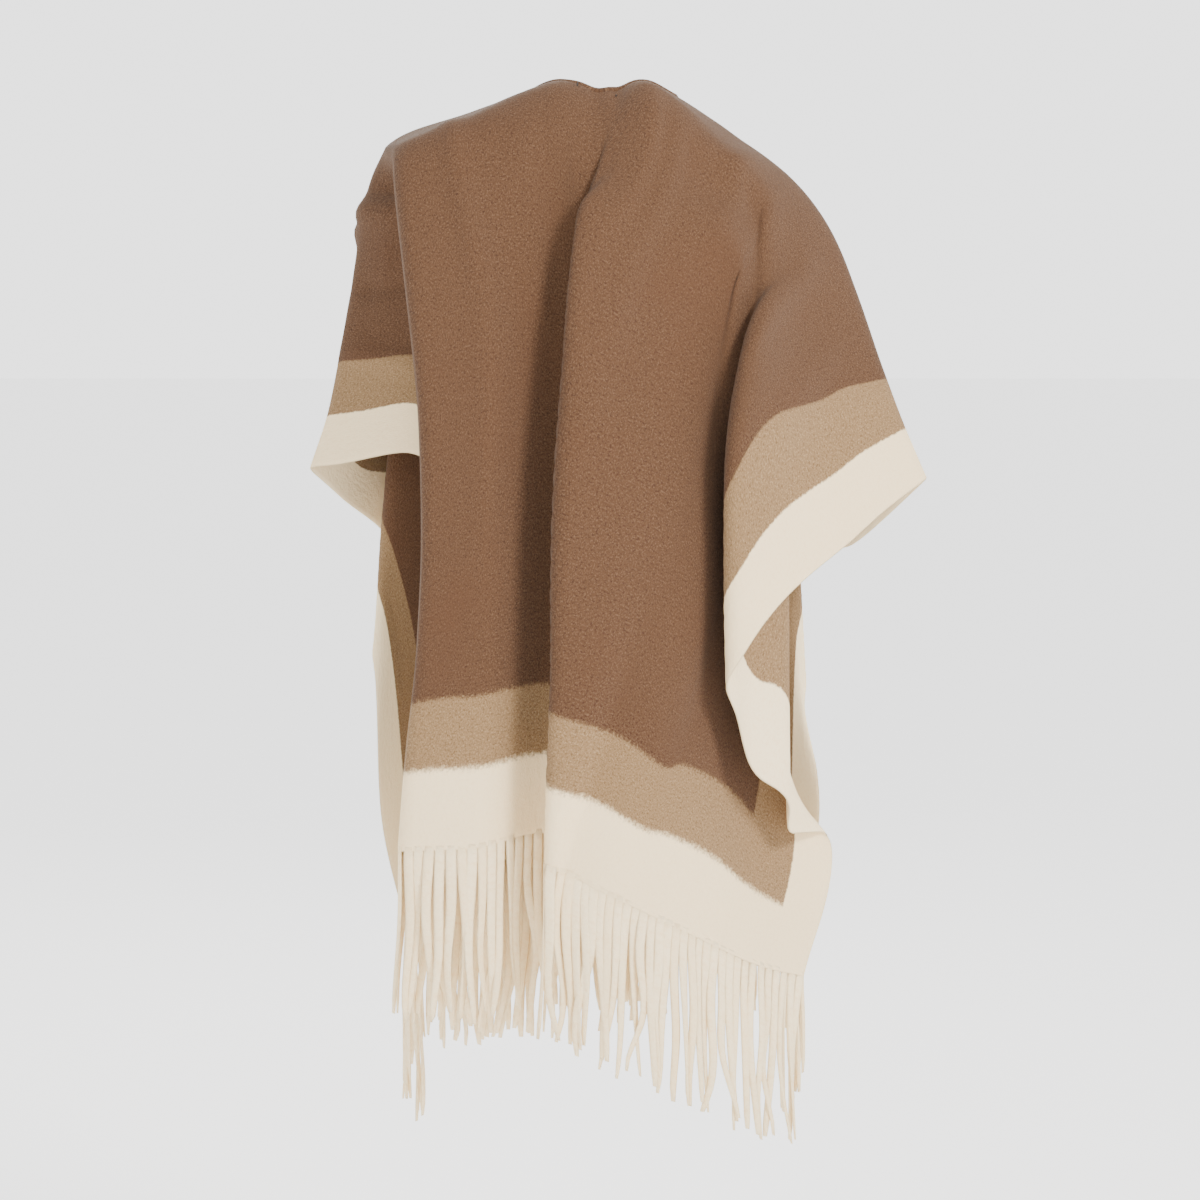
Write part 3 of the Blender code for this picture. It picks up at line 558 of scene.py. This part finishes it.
class Sheet:
    """The whole cloth's middle surface: back and fronts joined along the shoulder line."""

    def __init__(self, drapes):
        self.points, self.cut, self.panel = [], [], []
        self.quads = []
        self.grids = {}
        wing = np.linspace(NECK_HALF, HALF_WIDTH, WING_COLUMNS + 1)
        neck = np.linspace(-NECK_HALF, NECK_HALF, NECK_COLUMNS + 1)
        back = np.concatenate([-wing[::-1], neck[1:-1], wing])
        slit = np.linspace(SLIT_HALF, NECK_HALF, SLIT_COLUMNS + 1)
        front = np.concatenate([slit[:-1], wing])
        self.add(drapes["back"], "back", back, neck_cut_back, None)
        self.add(drapes["right"], "right", front, neck_cut_front, slice(len(back) - len(wing), len(back)))
        self.add(drapes["left"], "left", -front, neck_cut_front, slice(len(wing) - 1, None, -1))
        self.points = np.concatenate(self.points)
        self.cut = np.concatenate(self.cut)
        self.quads = np.array(self.quads)
        self.round_shoulders(len(wing))
        self.ease_folds()
        self.normals = vertex_normals(self.points, self.quads)
        self.soften()

    def add(self, drape, name, columns, top_of, shared):
        """One panel's grid; SHARED are the back's first-row columns that a front starts from."""
        share = np.linspace(0.0, 1.0, SHEET_ROWS + 1)[:, None]
        across = np.tile(columns, (SHEET_ROWS + 1, 1))
        top = top_of(columns) - 0.5 * SEAM
        along = top + (HALF_LENGTH - top) * share
        points = surface(drape, across, along)
        start = sum(len(p) for p in self.points)
        index = start + np.arange(across.size).reshape(across.shape)
        if shared is not None:
            same = self.grids["back"][0][shared]
            index[0, -len(same):] = same
        self.grids[name] = index
        self.points.append(points.reshape(-1, 3))
        sign = -1.0 if drape.front else 1.0
        self.cut.append(np.stack([across, sign * along], axis=2).reshape(-1, 2))
        self.panel += [name] * across.size
        q = np.stack([index[:-1, :-1], index[:-1, 1:], index[1:, 1:], index[1:, :-1]], axis=2).reshape(-1, 4)
        if name == "right":
            q = q[:, ::-1]
        self.quads += q.tolist()

    def round_shoulders(self, count):
        """Rounds the fold over both shoulders; COUNT is the number of the wing's columns."""
        back = self.grids["back"]
        for name, columns in (("right", back[:, -count:]), ("left", back[:, count - 1::-1])):
            front = self.grids[name][:, -count:]
            line = np.concatenate([columns[ROUND_ROWS:0:-1], front[:ROUND_ROWS + 1]])
            points = self.points[line]
            for _ in range(ROUND_PASSES):
                points[1:-1] = 0.25 * points[:-2] + 0.5 * points[1:-1] + 0.25 * points[2:]
            self.points[line] = points

    def ease_folds(self):
        """Opens the tight starts of the folds, so that the cloth crosses itself less there."""
        for name, across, along, wide, long in EASED:
            grid = self.grids[name]
            cut = self.cut[grid]
            u = cut[:, :, 0] if name == "back" else np.abs(cut[:, :, 0])
            near = ((u - across) / wide) ** 2 + ((np.abs(cut[:, :, 1]) - along) / long) ** 2
            weight = 0.7 * np.exp(-near ** 2)[1:-1, 1:-1, None]
            points = self.points[grid]
            for _ in range(EASE_PASSES):
                around = points[:-2, 1:-1] + points[2:, 1:-1] + points[1:-1, :-2] + points[1:-1, 2:]
                points[1:-1, 1:-1] += weight * (0.25 * around - points[1:-1, 1:-1])
            self.points[grid] = points

    def soften(self):
        """Presses in the soft creases and the slow unevenness."""
        panel = np.array(self.panel)
        across, along = self.cut[:, 0], np.abs(self.cut[:, 1])
        depth = np.zeros(len(across))
        for name in ("back", "right", "left"):
            own = panel == name
            u = across if name == "back" else np.abs(across)
            depth[own] = crease_depth(name, u[own], along[own])
        depth += UNEVEN_DEPTH * ramp(along, 0.02, 0.15) * unevenness(across, self.cut[:, 1])
        self.points = self.points - depth[:, None] * self.normals
        self.normals = vertex_normals(self.points, self.quads)


def border_rings(sheet):
    """Edges of the sheet, each once, in the order of the one face that has it."""
    q = sheet.quads
    pairs = np.concatenate([q[:, [0, 1]], q[:, [1, 2]], q[:, [2, 3]], q[:, [3, 0]]])
    key = np.sort(pairs, axis=1)
    _, first, count = np.unique(key, axis=0, return_index=True, return_counts=True)
    return pairs[first[count == 1]]


def new_object(name, points, faces, material, cut=None, smooth=True):
    mesh = bpy.data.meshes.new(name)
    mesh.from_pydata([tuple(p) for p in points], [], [tuple(int(v) for v in f) for f in faces])
    if cut is not None:
        layer = mesh.attributes.new("cut", "FLOAT_VECTOR", "POINT")
        layer.data.foreach_set("vector", np.asarray(cut, np.float32).ravel())
    mesh.polygons.foreach_set("use_smooth", [smooth] * len(mesh.polygons))
    mesh.update()
    mesh.materials.append(material)
    ob = bpy.data.objects.new(name, mesh)
    bpy.context.scene.collection.objects.link(ob)
    return ob


def make_cloth(sheet, material):
    """Both faces of the sheet, joined round every edge by a narrow rim."""
    used = np.unique(sheet.quads)
    number = np.full(len(sheet.points), -1)
    number[used] = np.arange(len(used))
    points, normals, cut = sheet.points[used], sheet.normals[used], sheet.cut[used]
    quads = number[sheet.quads]
    count = len(points)
    half = 0.5 * THICK
    rim = number[border_rings(sheet)]
    out = np.zeros_like(points)
    for a, b in rim:
        side = np.cross(points[b] - points[a], normals[a])
        side /= max(np.linalg.norm(side), 1e-12)
        out[a] += side
        out[b] += side
    edge = np.unique(rim)
    length = np.linalg.norm(out[edge], axis=1, keepdims=True)
    out[edge] /= np.maximum(length, 1e-12)
    middle = np.full(count, -1)
    middle[edge] = 2 * count + np.arange(len(edge))
    outer, inner, tips = points + half * normals, points - half * normals, points[edge] + half * out[edge]
    all_points = np.concatenate([outer, inner, tips])
    faces = quads.tolist() + (quads[:, ::-1] + count).tolist()
    for a, b in rim:
        faces.append((b, a, middle[a], middle[b]))
        faces.append((middle[b], middle[a], a + count, b + count))
    which_face = np.concatenate([np.zeros(count), np.ones(count), np.full(len(edge), 0.5)])
    all_cut = np.concatenate([np.concatenate([cut, cut, cut[edge]]), which_face[:, None]], axis=1)
    return new_object("ruana_cloth", all_points, faces, material, all_cut)


def sway(number, seed):
    """Small repeatable unevenness from -1 to 1."""
    x = math.sin(number * 12.9898 + seed * 78.233) * 43758.5453
    return 2.0 * (x - math.floor(x)) - 1.0


def ribbon(root, side, normal, run, number, seed):
    """Rings of one cut strand: flat, tapering, bent and turned."""
    length = FRINGE_LENGTH * (1.0 + LENGTH_SPREAD * sway(number, seed))
    lean = LEAN * sway(number, seed + 1) + STRAY_LEAN * sway(number, seed + 7) ** 3
    bow = BOW * sway(number, seed + 2)
    forth = FORTH * sway(number, seed + 3)
    turn = math.radians(TURN_DEG) * sway(number, seed + 4)
    kink = 0.35 + 0.4 * (0.5 + 0.5 * sway(number, seed + 5))
    width = RIBBON_WIDTH * (1.0 + WIDTH_SPREAD * sway(number, seed + 6))
    rings, shares = [], []
    down = np.array([0.0, 0.0, -1.0])
    centre = root.copy()
    for k in range(RIBBON_STEPS + 1):
        s = k / RIBBON_STEPS
        if k:
            follow = math.exp(-s / FALL_SHARE)
            step = follow * run + (1 - follow) * down
            centre = centre + step / np.linalg.norm(step) * length / RIBBON_STEPS
        bend = lean * s * s + bow * math.sin(math.pi * (s / kink)) * s
        wander = forth * math.sin(2.4 * s + number) * s
        angle = turn * s ** 1.3
        across = math.cos(angle) * side + math.sin(angle) * normal
        through = math.cos(angle) * normal - math.sin(angle) * side
        half = 0.5 * (width + (RIBBON_TIP - width) * s ** 1.6)
        thick = 0.5 * RIBBON_THICK * (1.0 + 0.15 * math.sin(9 * s + number))
        at = centre + bend * side + wander * normal
        if k == RIBBON_STEPS:
            half, thick = 0.72 * half, 0.7 * thick
        rings.append([at + half * across, at + 0.6 * half * across + thick * through,
                      at - 0.6 * half * across + thick * through, at - half * across,
                      at - 0.6 * half * across - thick * through, at + 0.6 * half * across - thick * through])
        shares.append(s)
    return rings, shares


def make_fringe(name, node, sheet, panel, low, high, seed, material):
    """Cut strands along one hem, in place of the plain ones."""
    index = sheet.grids[panel][-1]
    across = sheet.cut[index, 0]
    order = np.argsort(across)
    index, across = index[order], across[order]
    above = sheet.grids[panel][-2][order]
    count = int(round((high - low) / STRAND_PITCH))
    pitch = (high - low) / count
    points, faces, cuts = [], [], []
    for k in range(count):
        u = low + (k + 0.5) * pitch
        root = np.array([np.interp(u, across, sheet.points[index][:, i]) for i in range(3)])
        normal = np.array([np.interp(u, across, sheet.normals[index][:, i]) for i in range(3)])
        up = np.array([np.interp(u, across, sheet.points[above][:, i]) for i in range(3)])
        run = root - up
        run /= np.linalg.norm(run)
        normal -= run * normal.dot(run)
        normal /= np.linalg.norm(normal)
        side = np.cross(run, normal)
        rings, shares = ribbon(root - ROOT_DEPTH * run, side, normal, run, k, seed)
        lot = 0.5 * sway(k, seed + 9)
        start = len(points)
        for ring, s in zip(rings, shares):
            for c, p in enumerate(ring):
                points.append(p)
                place = u + 0.004 * math.cos(c * math.pi / 3)
                cuts.append((place, HALF_LENGTH + FRINGE_LENGTH * s, lot))
        for r in range(len(rings) - 1):
            for c in range(6):
                a, b = start + 6 * r + c, start + 6 * r + (c + 1) % 6
                faces.append((a, b, b + 6, a + 6))
        faces.append([start + c for c in range(5, -1, -1)])
        end = start + 6 * (len(rings) - 1)
        faces.append([end + c for c in range(6)])
    ob = new_object(name, points, faces, material, cuts)
    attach(ob, "root")
    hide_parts(node)
    return ob


# Colour sockets of the mix node
MIX_FIRST = 6
MIX_SECOND = 7
MIX_RESULT = 2


class Nodes:
    """Short way to add and join shader nodes."""

    def __init__(self, name):
        self.material = bpy.data.materials.new(name)
        self.material.use_nodes = True
        self.tree = self.material.node_tree
        self.shader = self.tree.nodes["Principled BSDF"]

    def put(self, node, socket, value):
        if isinstance(value, bpy.types.NodeSocket):
            self.tree.links.new(value, node.inputs[socket])
        else:
            node.inputs[socket].default_value = value

    def math(self, kind, a, b=0.0):
        node = self.tree.nodes.new("ShaderNodeMath")
        node.operation = kind
        self.put(node, 0, a)
        self.put(node, 1, b)
        return node.outputs[0]

    def noise(self, place, scale, detail=2.0, rough=0.5):
        node = self.tree.nodes.new("ShaderNodeTexNoise")
        self.put(node, "Vector", place)
        node.inputs["Scale"].default_value = scale
        node.inputs["Detail"].default_value = detail
        node.inputs["Roughness"].default_value = rough
        return node.outputs["Fac"]

    def span(self, value, low, high, to_low=0.0, to_high=1.0):
        node = self.tree.nodes.new("ShaderNodeMapRange")
        node.interpolation_type = "SMOOTHSTEP"
        self.put(node, "Value", value)
        for socket, number in (("From Min", low), ("From Max", high),
                               ("To Min", to_low), ("To Max", to_high)):
            node.inputs[socket].default_value = number
        return node.outputs["Result"]

    def mix(self, share, a, b):
        node = self.tree.nodes.new("ShaderNodeMix")
        node.data_type = "RGBA"
        self.put(node, "Factor", share)
        self.put(node, MIX_FIRST, a)
        self.put(node, MIX_SECOND, b)
        return node.outputs[MIX_RESULT]

    def scaled(self, vector, scale):
        node = self.tree.nodes.new("ShaderNodeVectorMath")
        node.operation = "MULTIPLY"
        self.put(node, 0, vector)
        node.inputs[1].default_value = scale
        return node.outputs[0]

    def bump(self, height, strength, distance, under=None):
        node = self.tree.nodes.new("ShaderNodeBump")
        node.inputs["Strength"].default_value = strength
        node.inputs["Distance"].default_value = distance
        self.put(node, "Height", height)
        if under is not None:
            self.put(node, "Normal", under)
        return node.outputs["Normal"]


def cut_place(n):
    """Cut coordinates of a point: the vector, then across, along and the face's or strand's number."""
    at = n.tree.nodes.new("ShaderNodeAttribute")
    at.attribute_name = "cut"
    split = n.tree.nodes.new("ShaderNodeSeparateXYZ")
    n.tree.links.new(at.outputs["Vector"], split.inputs[0])
    return at.outputs["Vector"], split.outputs[0], split.outputs[1], split.outputs[2]


def heather(n, place, dark, middle, light):
    """Blended fibres: fine flecks of a dark and a light tone in the middle one."""
    fine = n.noise(n.scaled(place, (1.0, 0.6, 3.0)), 820.0, 3.0, 0.65)
    other = n.noise(n.scaled(place, (0.7, 1.0, 5.0)), 540.0, 3.0, 0.65)
    tone = n.mix(n.span(fine, 0.46, 0.66, 0.0, 0.85), middle, light)
    return n.mix(n.span(other, 0.50, 0.34, 0.0, 0.80), tone, dark)


def nap(n, place, strength):
    """Brushed nap: short fibres over a slightly lumpy ground."""
    lumps = n.noise(n.scaled(place, (1.0, 0.7, 2.0)), 150.0, 2.0, 0.5)
    fibres = n.noise(n.scaled(place, (1.0, 0.45, 2.0)), 900.0, 3.0, 0.7)
    ground = n.bump(lumps, 0.55 * strength, 0.0016)
    return n.bump(fibres, 0.85 * strength, 0.0009, ground)


def wool_shader(n, colour, normal, sheen, tint):
    n.put(n.shader, "Base Color", colour)
    n.put(n.shader, "Normal", normal)
    n.shader.inputs["Roughness"].default_value = 0.92
    n.shader.inputs["Specular IOR Level"].default_value = 0.18
    n.shader.inputs["Sheen Weight"].default_value = sheen
    n.shader.inputs["Sheen Roughness"].default_value = 0.55
    n.shader.inputs["Sheen Tint"].default_value = tint


def cloth_material():
    """Camel body with a tan and a cream border on its sides and hems, from the cut coordinates; the inner
    face's cream carries painted shade.
    """
    n = Nodes("ruana_wool")
    place, across, along, face = cut_place(n)
    side = n.math("SUBTRACT", HALF_WIDTH, n.math("ABSOLUTE", across))
    hem = n.math("SUBTRACT", HALF_LENGTH, n.math("ABSOLUTE", along))
    stray = n.math("SUBTRACT", n.noise(place, 260.0, 3.0, 0.7), 0.5)
    slow = n.math("SUBTRACT", n.noise(place, 9.0, 1.0, 0.5), 0.5)
    side = n.math("ADD", side, n.math("MULTIPLY", stray, 0.004))
    hem = n.math("ADD", hem, n.math("ADD", n.math("MULTIPLY", stray, 0.014), n.math("MULTIPLY", slow, 0.006)))
    cream = n.math("MAXIMUM", n.span(side, SIDE_CREAM + 0.0012, SIDE_CREAM - 0.0012),
                   n.span(hem, HEM_CREAM + 0.0045, HEM_CREAM - 0.0045))
    tan = n.math("MAXIMUM", n.span(side, SIDE_TAN + 0.0015, SIDE_TAN - 0.0015),
                 n.span(hem, HEM_TAN + 0.003, HEM_TAN - 0.003))
    body = heather(n, place, BODY_DARK, BODY, BODY_LIGHT)
    warm = n.span(n.noise(place, 7.0, 3.0, 0.6), 0.45, 0.80, 0.0, 0.30)
    body = n.mix(warm, body, BODY_RED)
    sand = heather(n, place, TAN_DARK, TAN, TAN_LIGHT)
    pale = n.mix(n.span(n.noise(place, 300.0, 3.0, 0.6), 0.42, 0.75, 0.0, 0.55), CREAM, CREAM_DARK)
    # Painted shade: the inner face's cream, and half of it on the rim, is mixed 35% toward the darker cream
    # to stand in for the shade that the inside lies in
    pale = n.mix(n.math("MULTIPLY", face, 0.35), pale, CREAM_DARK)
    colour = n.mix(cream, n.mix(tan, body, sand), pale)
    wool_shader(n, colour, nap(n, place, 1.0), 0.08, BODY_SHEEN)
    return n.material


def fringe_material():
    n = Nodes("fringe_wool")
    place, _, _, lot = cut_place(n)
    pale = n.mix(n.span(n.noise(place, 240.0, 3.0, 0.6), 0.40, 0.75, 0.0, 0.7), CREAM, CREAM_DARK)
    pale = n.mix(n.span(lot, 0.1, 0.6, 0.0, 0.35), pale, CREAM_DARK)
    wool_shader(n, pale, nap(n, place, 1.3), 0.10, FRINGE_SHEEN)
    return n.material


def thread_material(name, colour):
    n = Nodes(name)
    place = n.tree.nodes.new("ShaderNodeTexCoord").outputs["Object"]
    twist = n.noise(n.scaled(place, (1.0, 1.0, 4.0)), 1500.0, 2.0, 0.6)
    light = tuple(min(1.0, 1.9 * c) for c in colour[:3]) + (1.0,)
    tone = n.mix(n.span(twist, 0.4, 0.7), colour, light)
    wool_shader(n, tone, n.bump(twist, 0.6, 0.0004), 0.10, THREAD_SHEEN)
    return n.material


def neck_path(sheet):
    """Point, normal, way off the edge and cut place, up the slit's left side and down its right."""
    def edge(panel, columns):
        grid = sheet.grids[panel]
        return [(sheet.points[grid[0][c]], sheet.normals[grid[0][c]],
                 sheet.points[grid[0][c]] - sheet.points[grid[1][c]], sheet.cut[grid[0][c]]) for c in columns]

    def slit(panel, order):
        grid = sheet.grids[panel]
        return [(sheet.points[grid[r][0]], sheet.normals[grid[r][0]],
                 sheet.points[grid[r][0]] - sheet.points[grid[r][1]], sheet.cut[grid[r][0]]) for r in order]

    neck = range(WING_COLUMNS, WING_COLUMNS + NECK_COLUMNS + 1)
    rows = range(SHEET_ROWS, 1, -2)
    path = slit("left", rows) + edge("left", range(0, SLIT_COLUMNS)) + edge("back", neck)
    return path + edge("right", range(SLIT_COLUMNS - 1, -1, -1)) + slit("right", reversed(rows))


# Section of the neck's band: way off the edge, face (0 is the rim between them), rise over that face
NECK_BAND = (
    (-0.0075, 1, 0.0001), (-0.0064, 1, 0.0009), (-0.0040, 1, 0.0013), (-0.0012, 1, 0.0010),
    (0.0006, 0, 0.0), (-0.0012, -1, 0.0010), (-0.0040, -1, 0.0013), (-0.0075, -1, 0.0001),
)


def make_neck_edge(sheet, material):
    """The edge turned in and felled: a low band wrapped round the cut edge."""
    path = neck_path(sheet)
    points = np.array([p[0] for p in path])
    run = np.gradient(points, axis=0)
    run /= np.linalg.norm(run, axis=1, keepdims=True)
    verts, cuts, faces = [], [], []
    for k, (point, normal, off, cut) in enumerate(path):
        off = off - run[k] * off.dot(run[k])
        off = off - normal * off.dot(normal)
        off /= max(np.linalg.norm(off), 1e-9)
        for reach, face, rise in NECK_BAND:
            verts.append(point + reach * off + face * (0.5 * THICK + rise) * normal)
            cuts.append((cut[0], cut[1], 0.0))
    size = len(NECK_BAND)
    for k in range(len(path) - 1):
        for c in range(size):
            a, b = k * size + c, k * size + (c + 1) % size
            faces.append((a, b, b + size, a + size))
    faces.append(list(range(size))[::-1])
    faces.append([(len(path) - 1) * size + c for c in range(size)])
    ob = new_object("neck_edge", verts, faces, material, cuts)
    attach(ob, "root")
    return ob


def bar(points, faces, start, end, radius):
    """A short thread from start to end, six sides with pinched ends."""
    way = end - start
    way /= np.linalg.norm(way)
    one = np.cross(way, np.array([0.3, 0.2, 0.9]))
    one /= np.linalg.norm(one)
    two = np.cross(way, one)
    base = len(points)
    for s, r in ((0.0, 0.45), (0.25, 1.0), (0.75, 1.0), (1.0, 0.45)):
        for c in range(6):
            a = c * math.pi / 3
            points.append(start + (end - start) * s + radius * r * (math.cos(a) * one + math.sin(a) * two))
    for k in range(3):
        for c in range(6):
            a, b = base + 6 * k + c, base + 6 * k + (c + 1) % 6
            faces.append((a, b, b + 6, a + 6))
    faces.append([base + c for c in range(5, -1, -1)])
    faces.append([base + 18 + c for c in range(6)])


# Felling stitches: pitch, start and end as shares of it, way in from the edge, rise, radius
STITCH_PITCH = 0.0085
STITCH_START = 0.15
STITCH_END = 0.70
STITCH_INSET = 0.0066
STITCH_RISE = 0.0009
STITCH_RADIUS = 0.00032


def make_stitches(sheet, material):
    """Felling stitches along the turned edge, on the outer face."""
    path = neck_path(sheet)
    points = np.array([p[0] for p in path])
    normals = np.array([p[1] for p in path])
    offs = np.array([p[2] / max(np.linalg.norm(p[2]), 1e-9) for p in path])
    reach = np.concatenate([[0.0], np.cumsum(np.linalg.norm(np.diff(points, axis=0), axis=1))])
    line = points - STITCH_INSET * offs + (0.5 * THICK + STITCH_RISE) * normals
    verts, faces = [], []
    for k in range(int(reach[-1] / STITCH_PITCH)):
        a, b = (k + STITCH_START) * STITCH_PITCH, (k + STITCH_END) * STITCH_PITCH
        ends = [np.array([np.interp(s, reach, line[:, i]) for i in range(3)]) for s in (a, b)]
        bar(verts, faces, ends[0], ends[1], STITCH_RADIUS)
    ob = new_object("neck_stitches", verts, faces, material)
    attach(ob, "root")
    return ob


# Two tack stitches and a dark fleck on the back: across and along of both ends, radius
TACKS = (
    (-0.022, 0.034, -0.022, 0.045, 0.0005),
    (0.018, 0.046, 0.018, 0.050, 0.0005),
    (0.112, 0.372, 0.114, 0.375, 0.0009),
)
TACK_RISE = 0.0012
# Way to each side over which the back's slope is read
SLOPE_REACH = 0.006


def facing(drape, across, along):
    """Unit normals of the back, facing out of the wrap."""
    d = SLOPE_REACH
    way_across = surface(drape, across + d, along) - surface(drape, across - d, along)
    way_along = surface(drape, across, along + d) - surface(drape, across, along - d)
    normal = np.cross(way_along, way_across)
    return normal / np.linalg.norm(normal, axis=-1, keepdims=True)


def make_tacks(drape, material):
    verts, faces = [], []
    for u0, t0, u1, t1, radius in TACKS:
        ends = []
        for u, t in ((u0, t0), (u1, t1)):
            at, on = np.array([u]), np.array([t])
            ends.append(surface(drape, at, on)[0] + (0.5 * THICK + TACK_RISE) * facing(drape, at, on)[0])
        bar(verts, faces, ends[0], ends[1], radius)
    ob = new_object("tack_stitches", verts, faces, material)
    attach(ob, "root")
    return ob


# Light of the wall, the room and the floor
WALL_LIGHT = 2.6
ROOM_LIGHT = 0.90
FLOOR_LIGHT = 0.95
# Where the wall's light ends and the room's begins, from -1 ahead of the wearer to 1 behind them
WALL_END = -0.9
ROOM_START = 0.3
FLOOR_HALF = 40.0
FLOOR_LEVEL = -1.46
# Lamps: name, place, aim, size, power, colour
LAMPS = (
    ("key", (-2.2, 2.4, 1.6), (0.0, 0.0, -0.45), 1.1, 190.0, (1.0, 0.98, 0.95)),
    ("fill", (1.6, 3.4, 0.6), (0.0, 0.0, -0.5), 2.2, 60.0, (1.0, 0.99, 0.97)),
    ("front", (0.6, -3.2, 1.4), (0.0, 0.0, -0.5), 2.0, 50.0, (1.0, 0.98, 0.95)),
)


def area_light(name, place, aim, size, power, colour):
    light = bpy.data.lights.new(name, "AREA")
    light.shape = "DISK"
    light.size = size
    light.energy = power
    light.color = colour
    ob = bpy.data.objects.new(name, light)
    ob.location = place
    ob.rotation_euler = (Vector(aim) - Vector(place)).to_track_quat("-Z", "Y").to_euler()
    bpy.context.scene.collection.objects.link(ob)


def light_side(tree):
    """Bright wall ahead of the wearer, dimmer room behind them."""
    place = tree.nodes.new("ShaderNodeTexCoord")
    split = tree.nodes.new("ShaderNodeSeparateXYZ")
    level = tree.nodes.new("ShaderNodeMapRange")
    level.interpolation_type = "SMOOTHSTEP"
    tree.links.new(place.outputs["Generated"], split.inputs[0])
    tree.links.new(split.outputs[1], level.inputs["Value"])
    for socket, number in (("From Min", WALL_END), ("From Max", ROOM_START),
                           ("To Min", WALL_LIGHT), ("To Max", ROOM_LIGHT)):
        level.inputs[socket].default_value = number
    background = tree.nodes["Background"]
    background.inputs[0].default_value = WHITE
    tree.links.new(level.outputs["Result"], background.inputs[1])


def make_stage():
    """Pale glowing floor under the wearer, light from the room and three lamps."""
    n = Nodes("floor_paint")
    place = n.tree.nodes.new("ShaderNodeTexCoord").outputs["Object"]
    n.put(n.shader, "Base Color", n.mix(n.noise(place, 3.0, 2.0), FLOOR_DARK, FLOOR_PALE))
    n.shader.inputs["Roughness"].default_value = 0.9
    n.shader.inputs["Emission Color"].default_value = WHITE
    n.shader.inputs["Emission Strength"].default_value = FLOOR_LIGHT
    corners = [(x * FLOOR_HALF, y * FLOOR_HALF, FLOOR_LEVEL) for x, y in ((-1, -1), (1, -1), (1, 1), (-1, 1))]
    new_object("floor", corners, [(0, 1, 2, 3)], n.material, smooth=False)
    world = bpy.data.worlds.new("studio")
    bpy.context.scene.world = world
    world.use_nodes = True
    light_side(world.node_tree)
    for lamp in LAMPS:
        area_light(*lamp)


# Camera and the width that it sees
CAMERA_DISTANCE = 3.8
CAMERA_HEIGHT_DEG = 5.0
VIEW_WIDTH = 1.2
SENSOR_WIDTH = 36.0
AIM = (0.0, 0.1, -0.515)


def make_camera():
    data = bpy.data.cameras.new("camera")
    data.sensor_width = SENSOR_WIDTH
    data.lens = SENSOR_WIDTH * CAMERA_DISTANCE / VIEW_WIDTH
    camera = bpy.data.objects.new("camera", data)
    tilt = math.radians(CAMERA_HEIGHT_DEG)
    way = Vector((0.0, math.cos(tilt), math.sin(tilt)))
    camera.location = Vector(AIM) + CAMERA_DISTANCE * way
    camera.rotation_euler = (-way).to_track_quat("-Z", "Y").to_euler()
    bpy.context.scene.collection.objects.link(camera)
    bpy.context.scene.camera = camera


def dress():
    drapes = {kind: Drape(kind) for kind in ("back", "right", "left")}
    sheet = Sheet(drapes)
    wool, cream = cloth_material(), fringe_material()
    cloth = make_cloth(sheet, wool)
    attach(cloth, "root")
    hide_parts("back_panel", "front_right", "front_left")
    fringes = [
        make_fringe("fringe_strands_back", "fringe_back", sheet,
                    "back", -HALF_WIDTH, HALF_WIDTH, 1, cream),
        make_fringe("fringe_strands_right", "fringe_front_right", sheet,
                    "right", SLIT_HALF, HALF_WIDTH, 2, cream),
        make_fringe("fringe_strands_left", "fringe_front_left", sheet,
                    "left", -HALF_WIDTH, -SLIT_HALF, 3, cream)]
    edge = make_neck_edge(sheet, wool)
    stitches = make_stitches(sheet, thread_material("thread_brown", THREAD_BROWN))
    tacks = make_tacks(drapes["back"], thread_material("thread_black", THREAD_BLACK))


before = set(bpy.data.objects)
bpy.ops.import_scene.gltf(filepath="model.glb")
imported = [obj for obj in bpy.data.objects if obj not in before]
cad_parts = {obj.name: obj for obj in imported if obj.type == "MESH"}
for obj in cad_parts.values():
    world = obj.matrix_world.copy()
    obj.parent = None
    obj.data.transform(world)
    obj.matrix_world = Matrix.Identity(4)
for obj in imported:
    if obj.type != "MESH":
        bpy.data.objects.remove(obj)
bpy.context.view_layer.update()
make_camera()
dress()
make_stage()
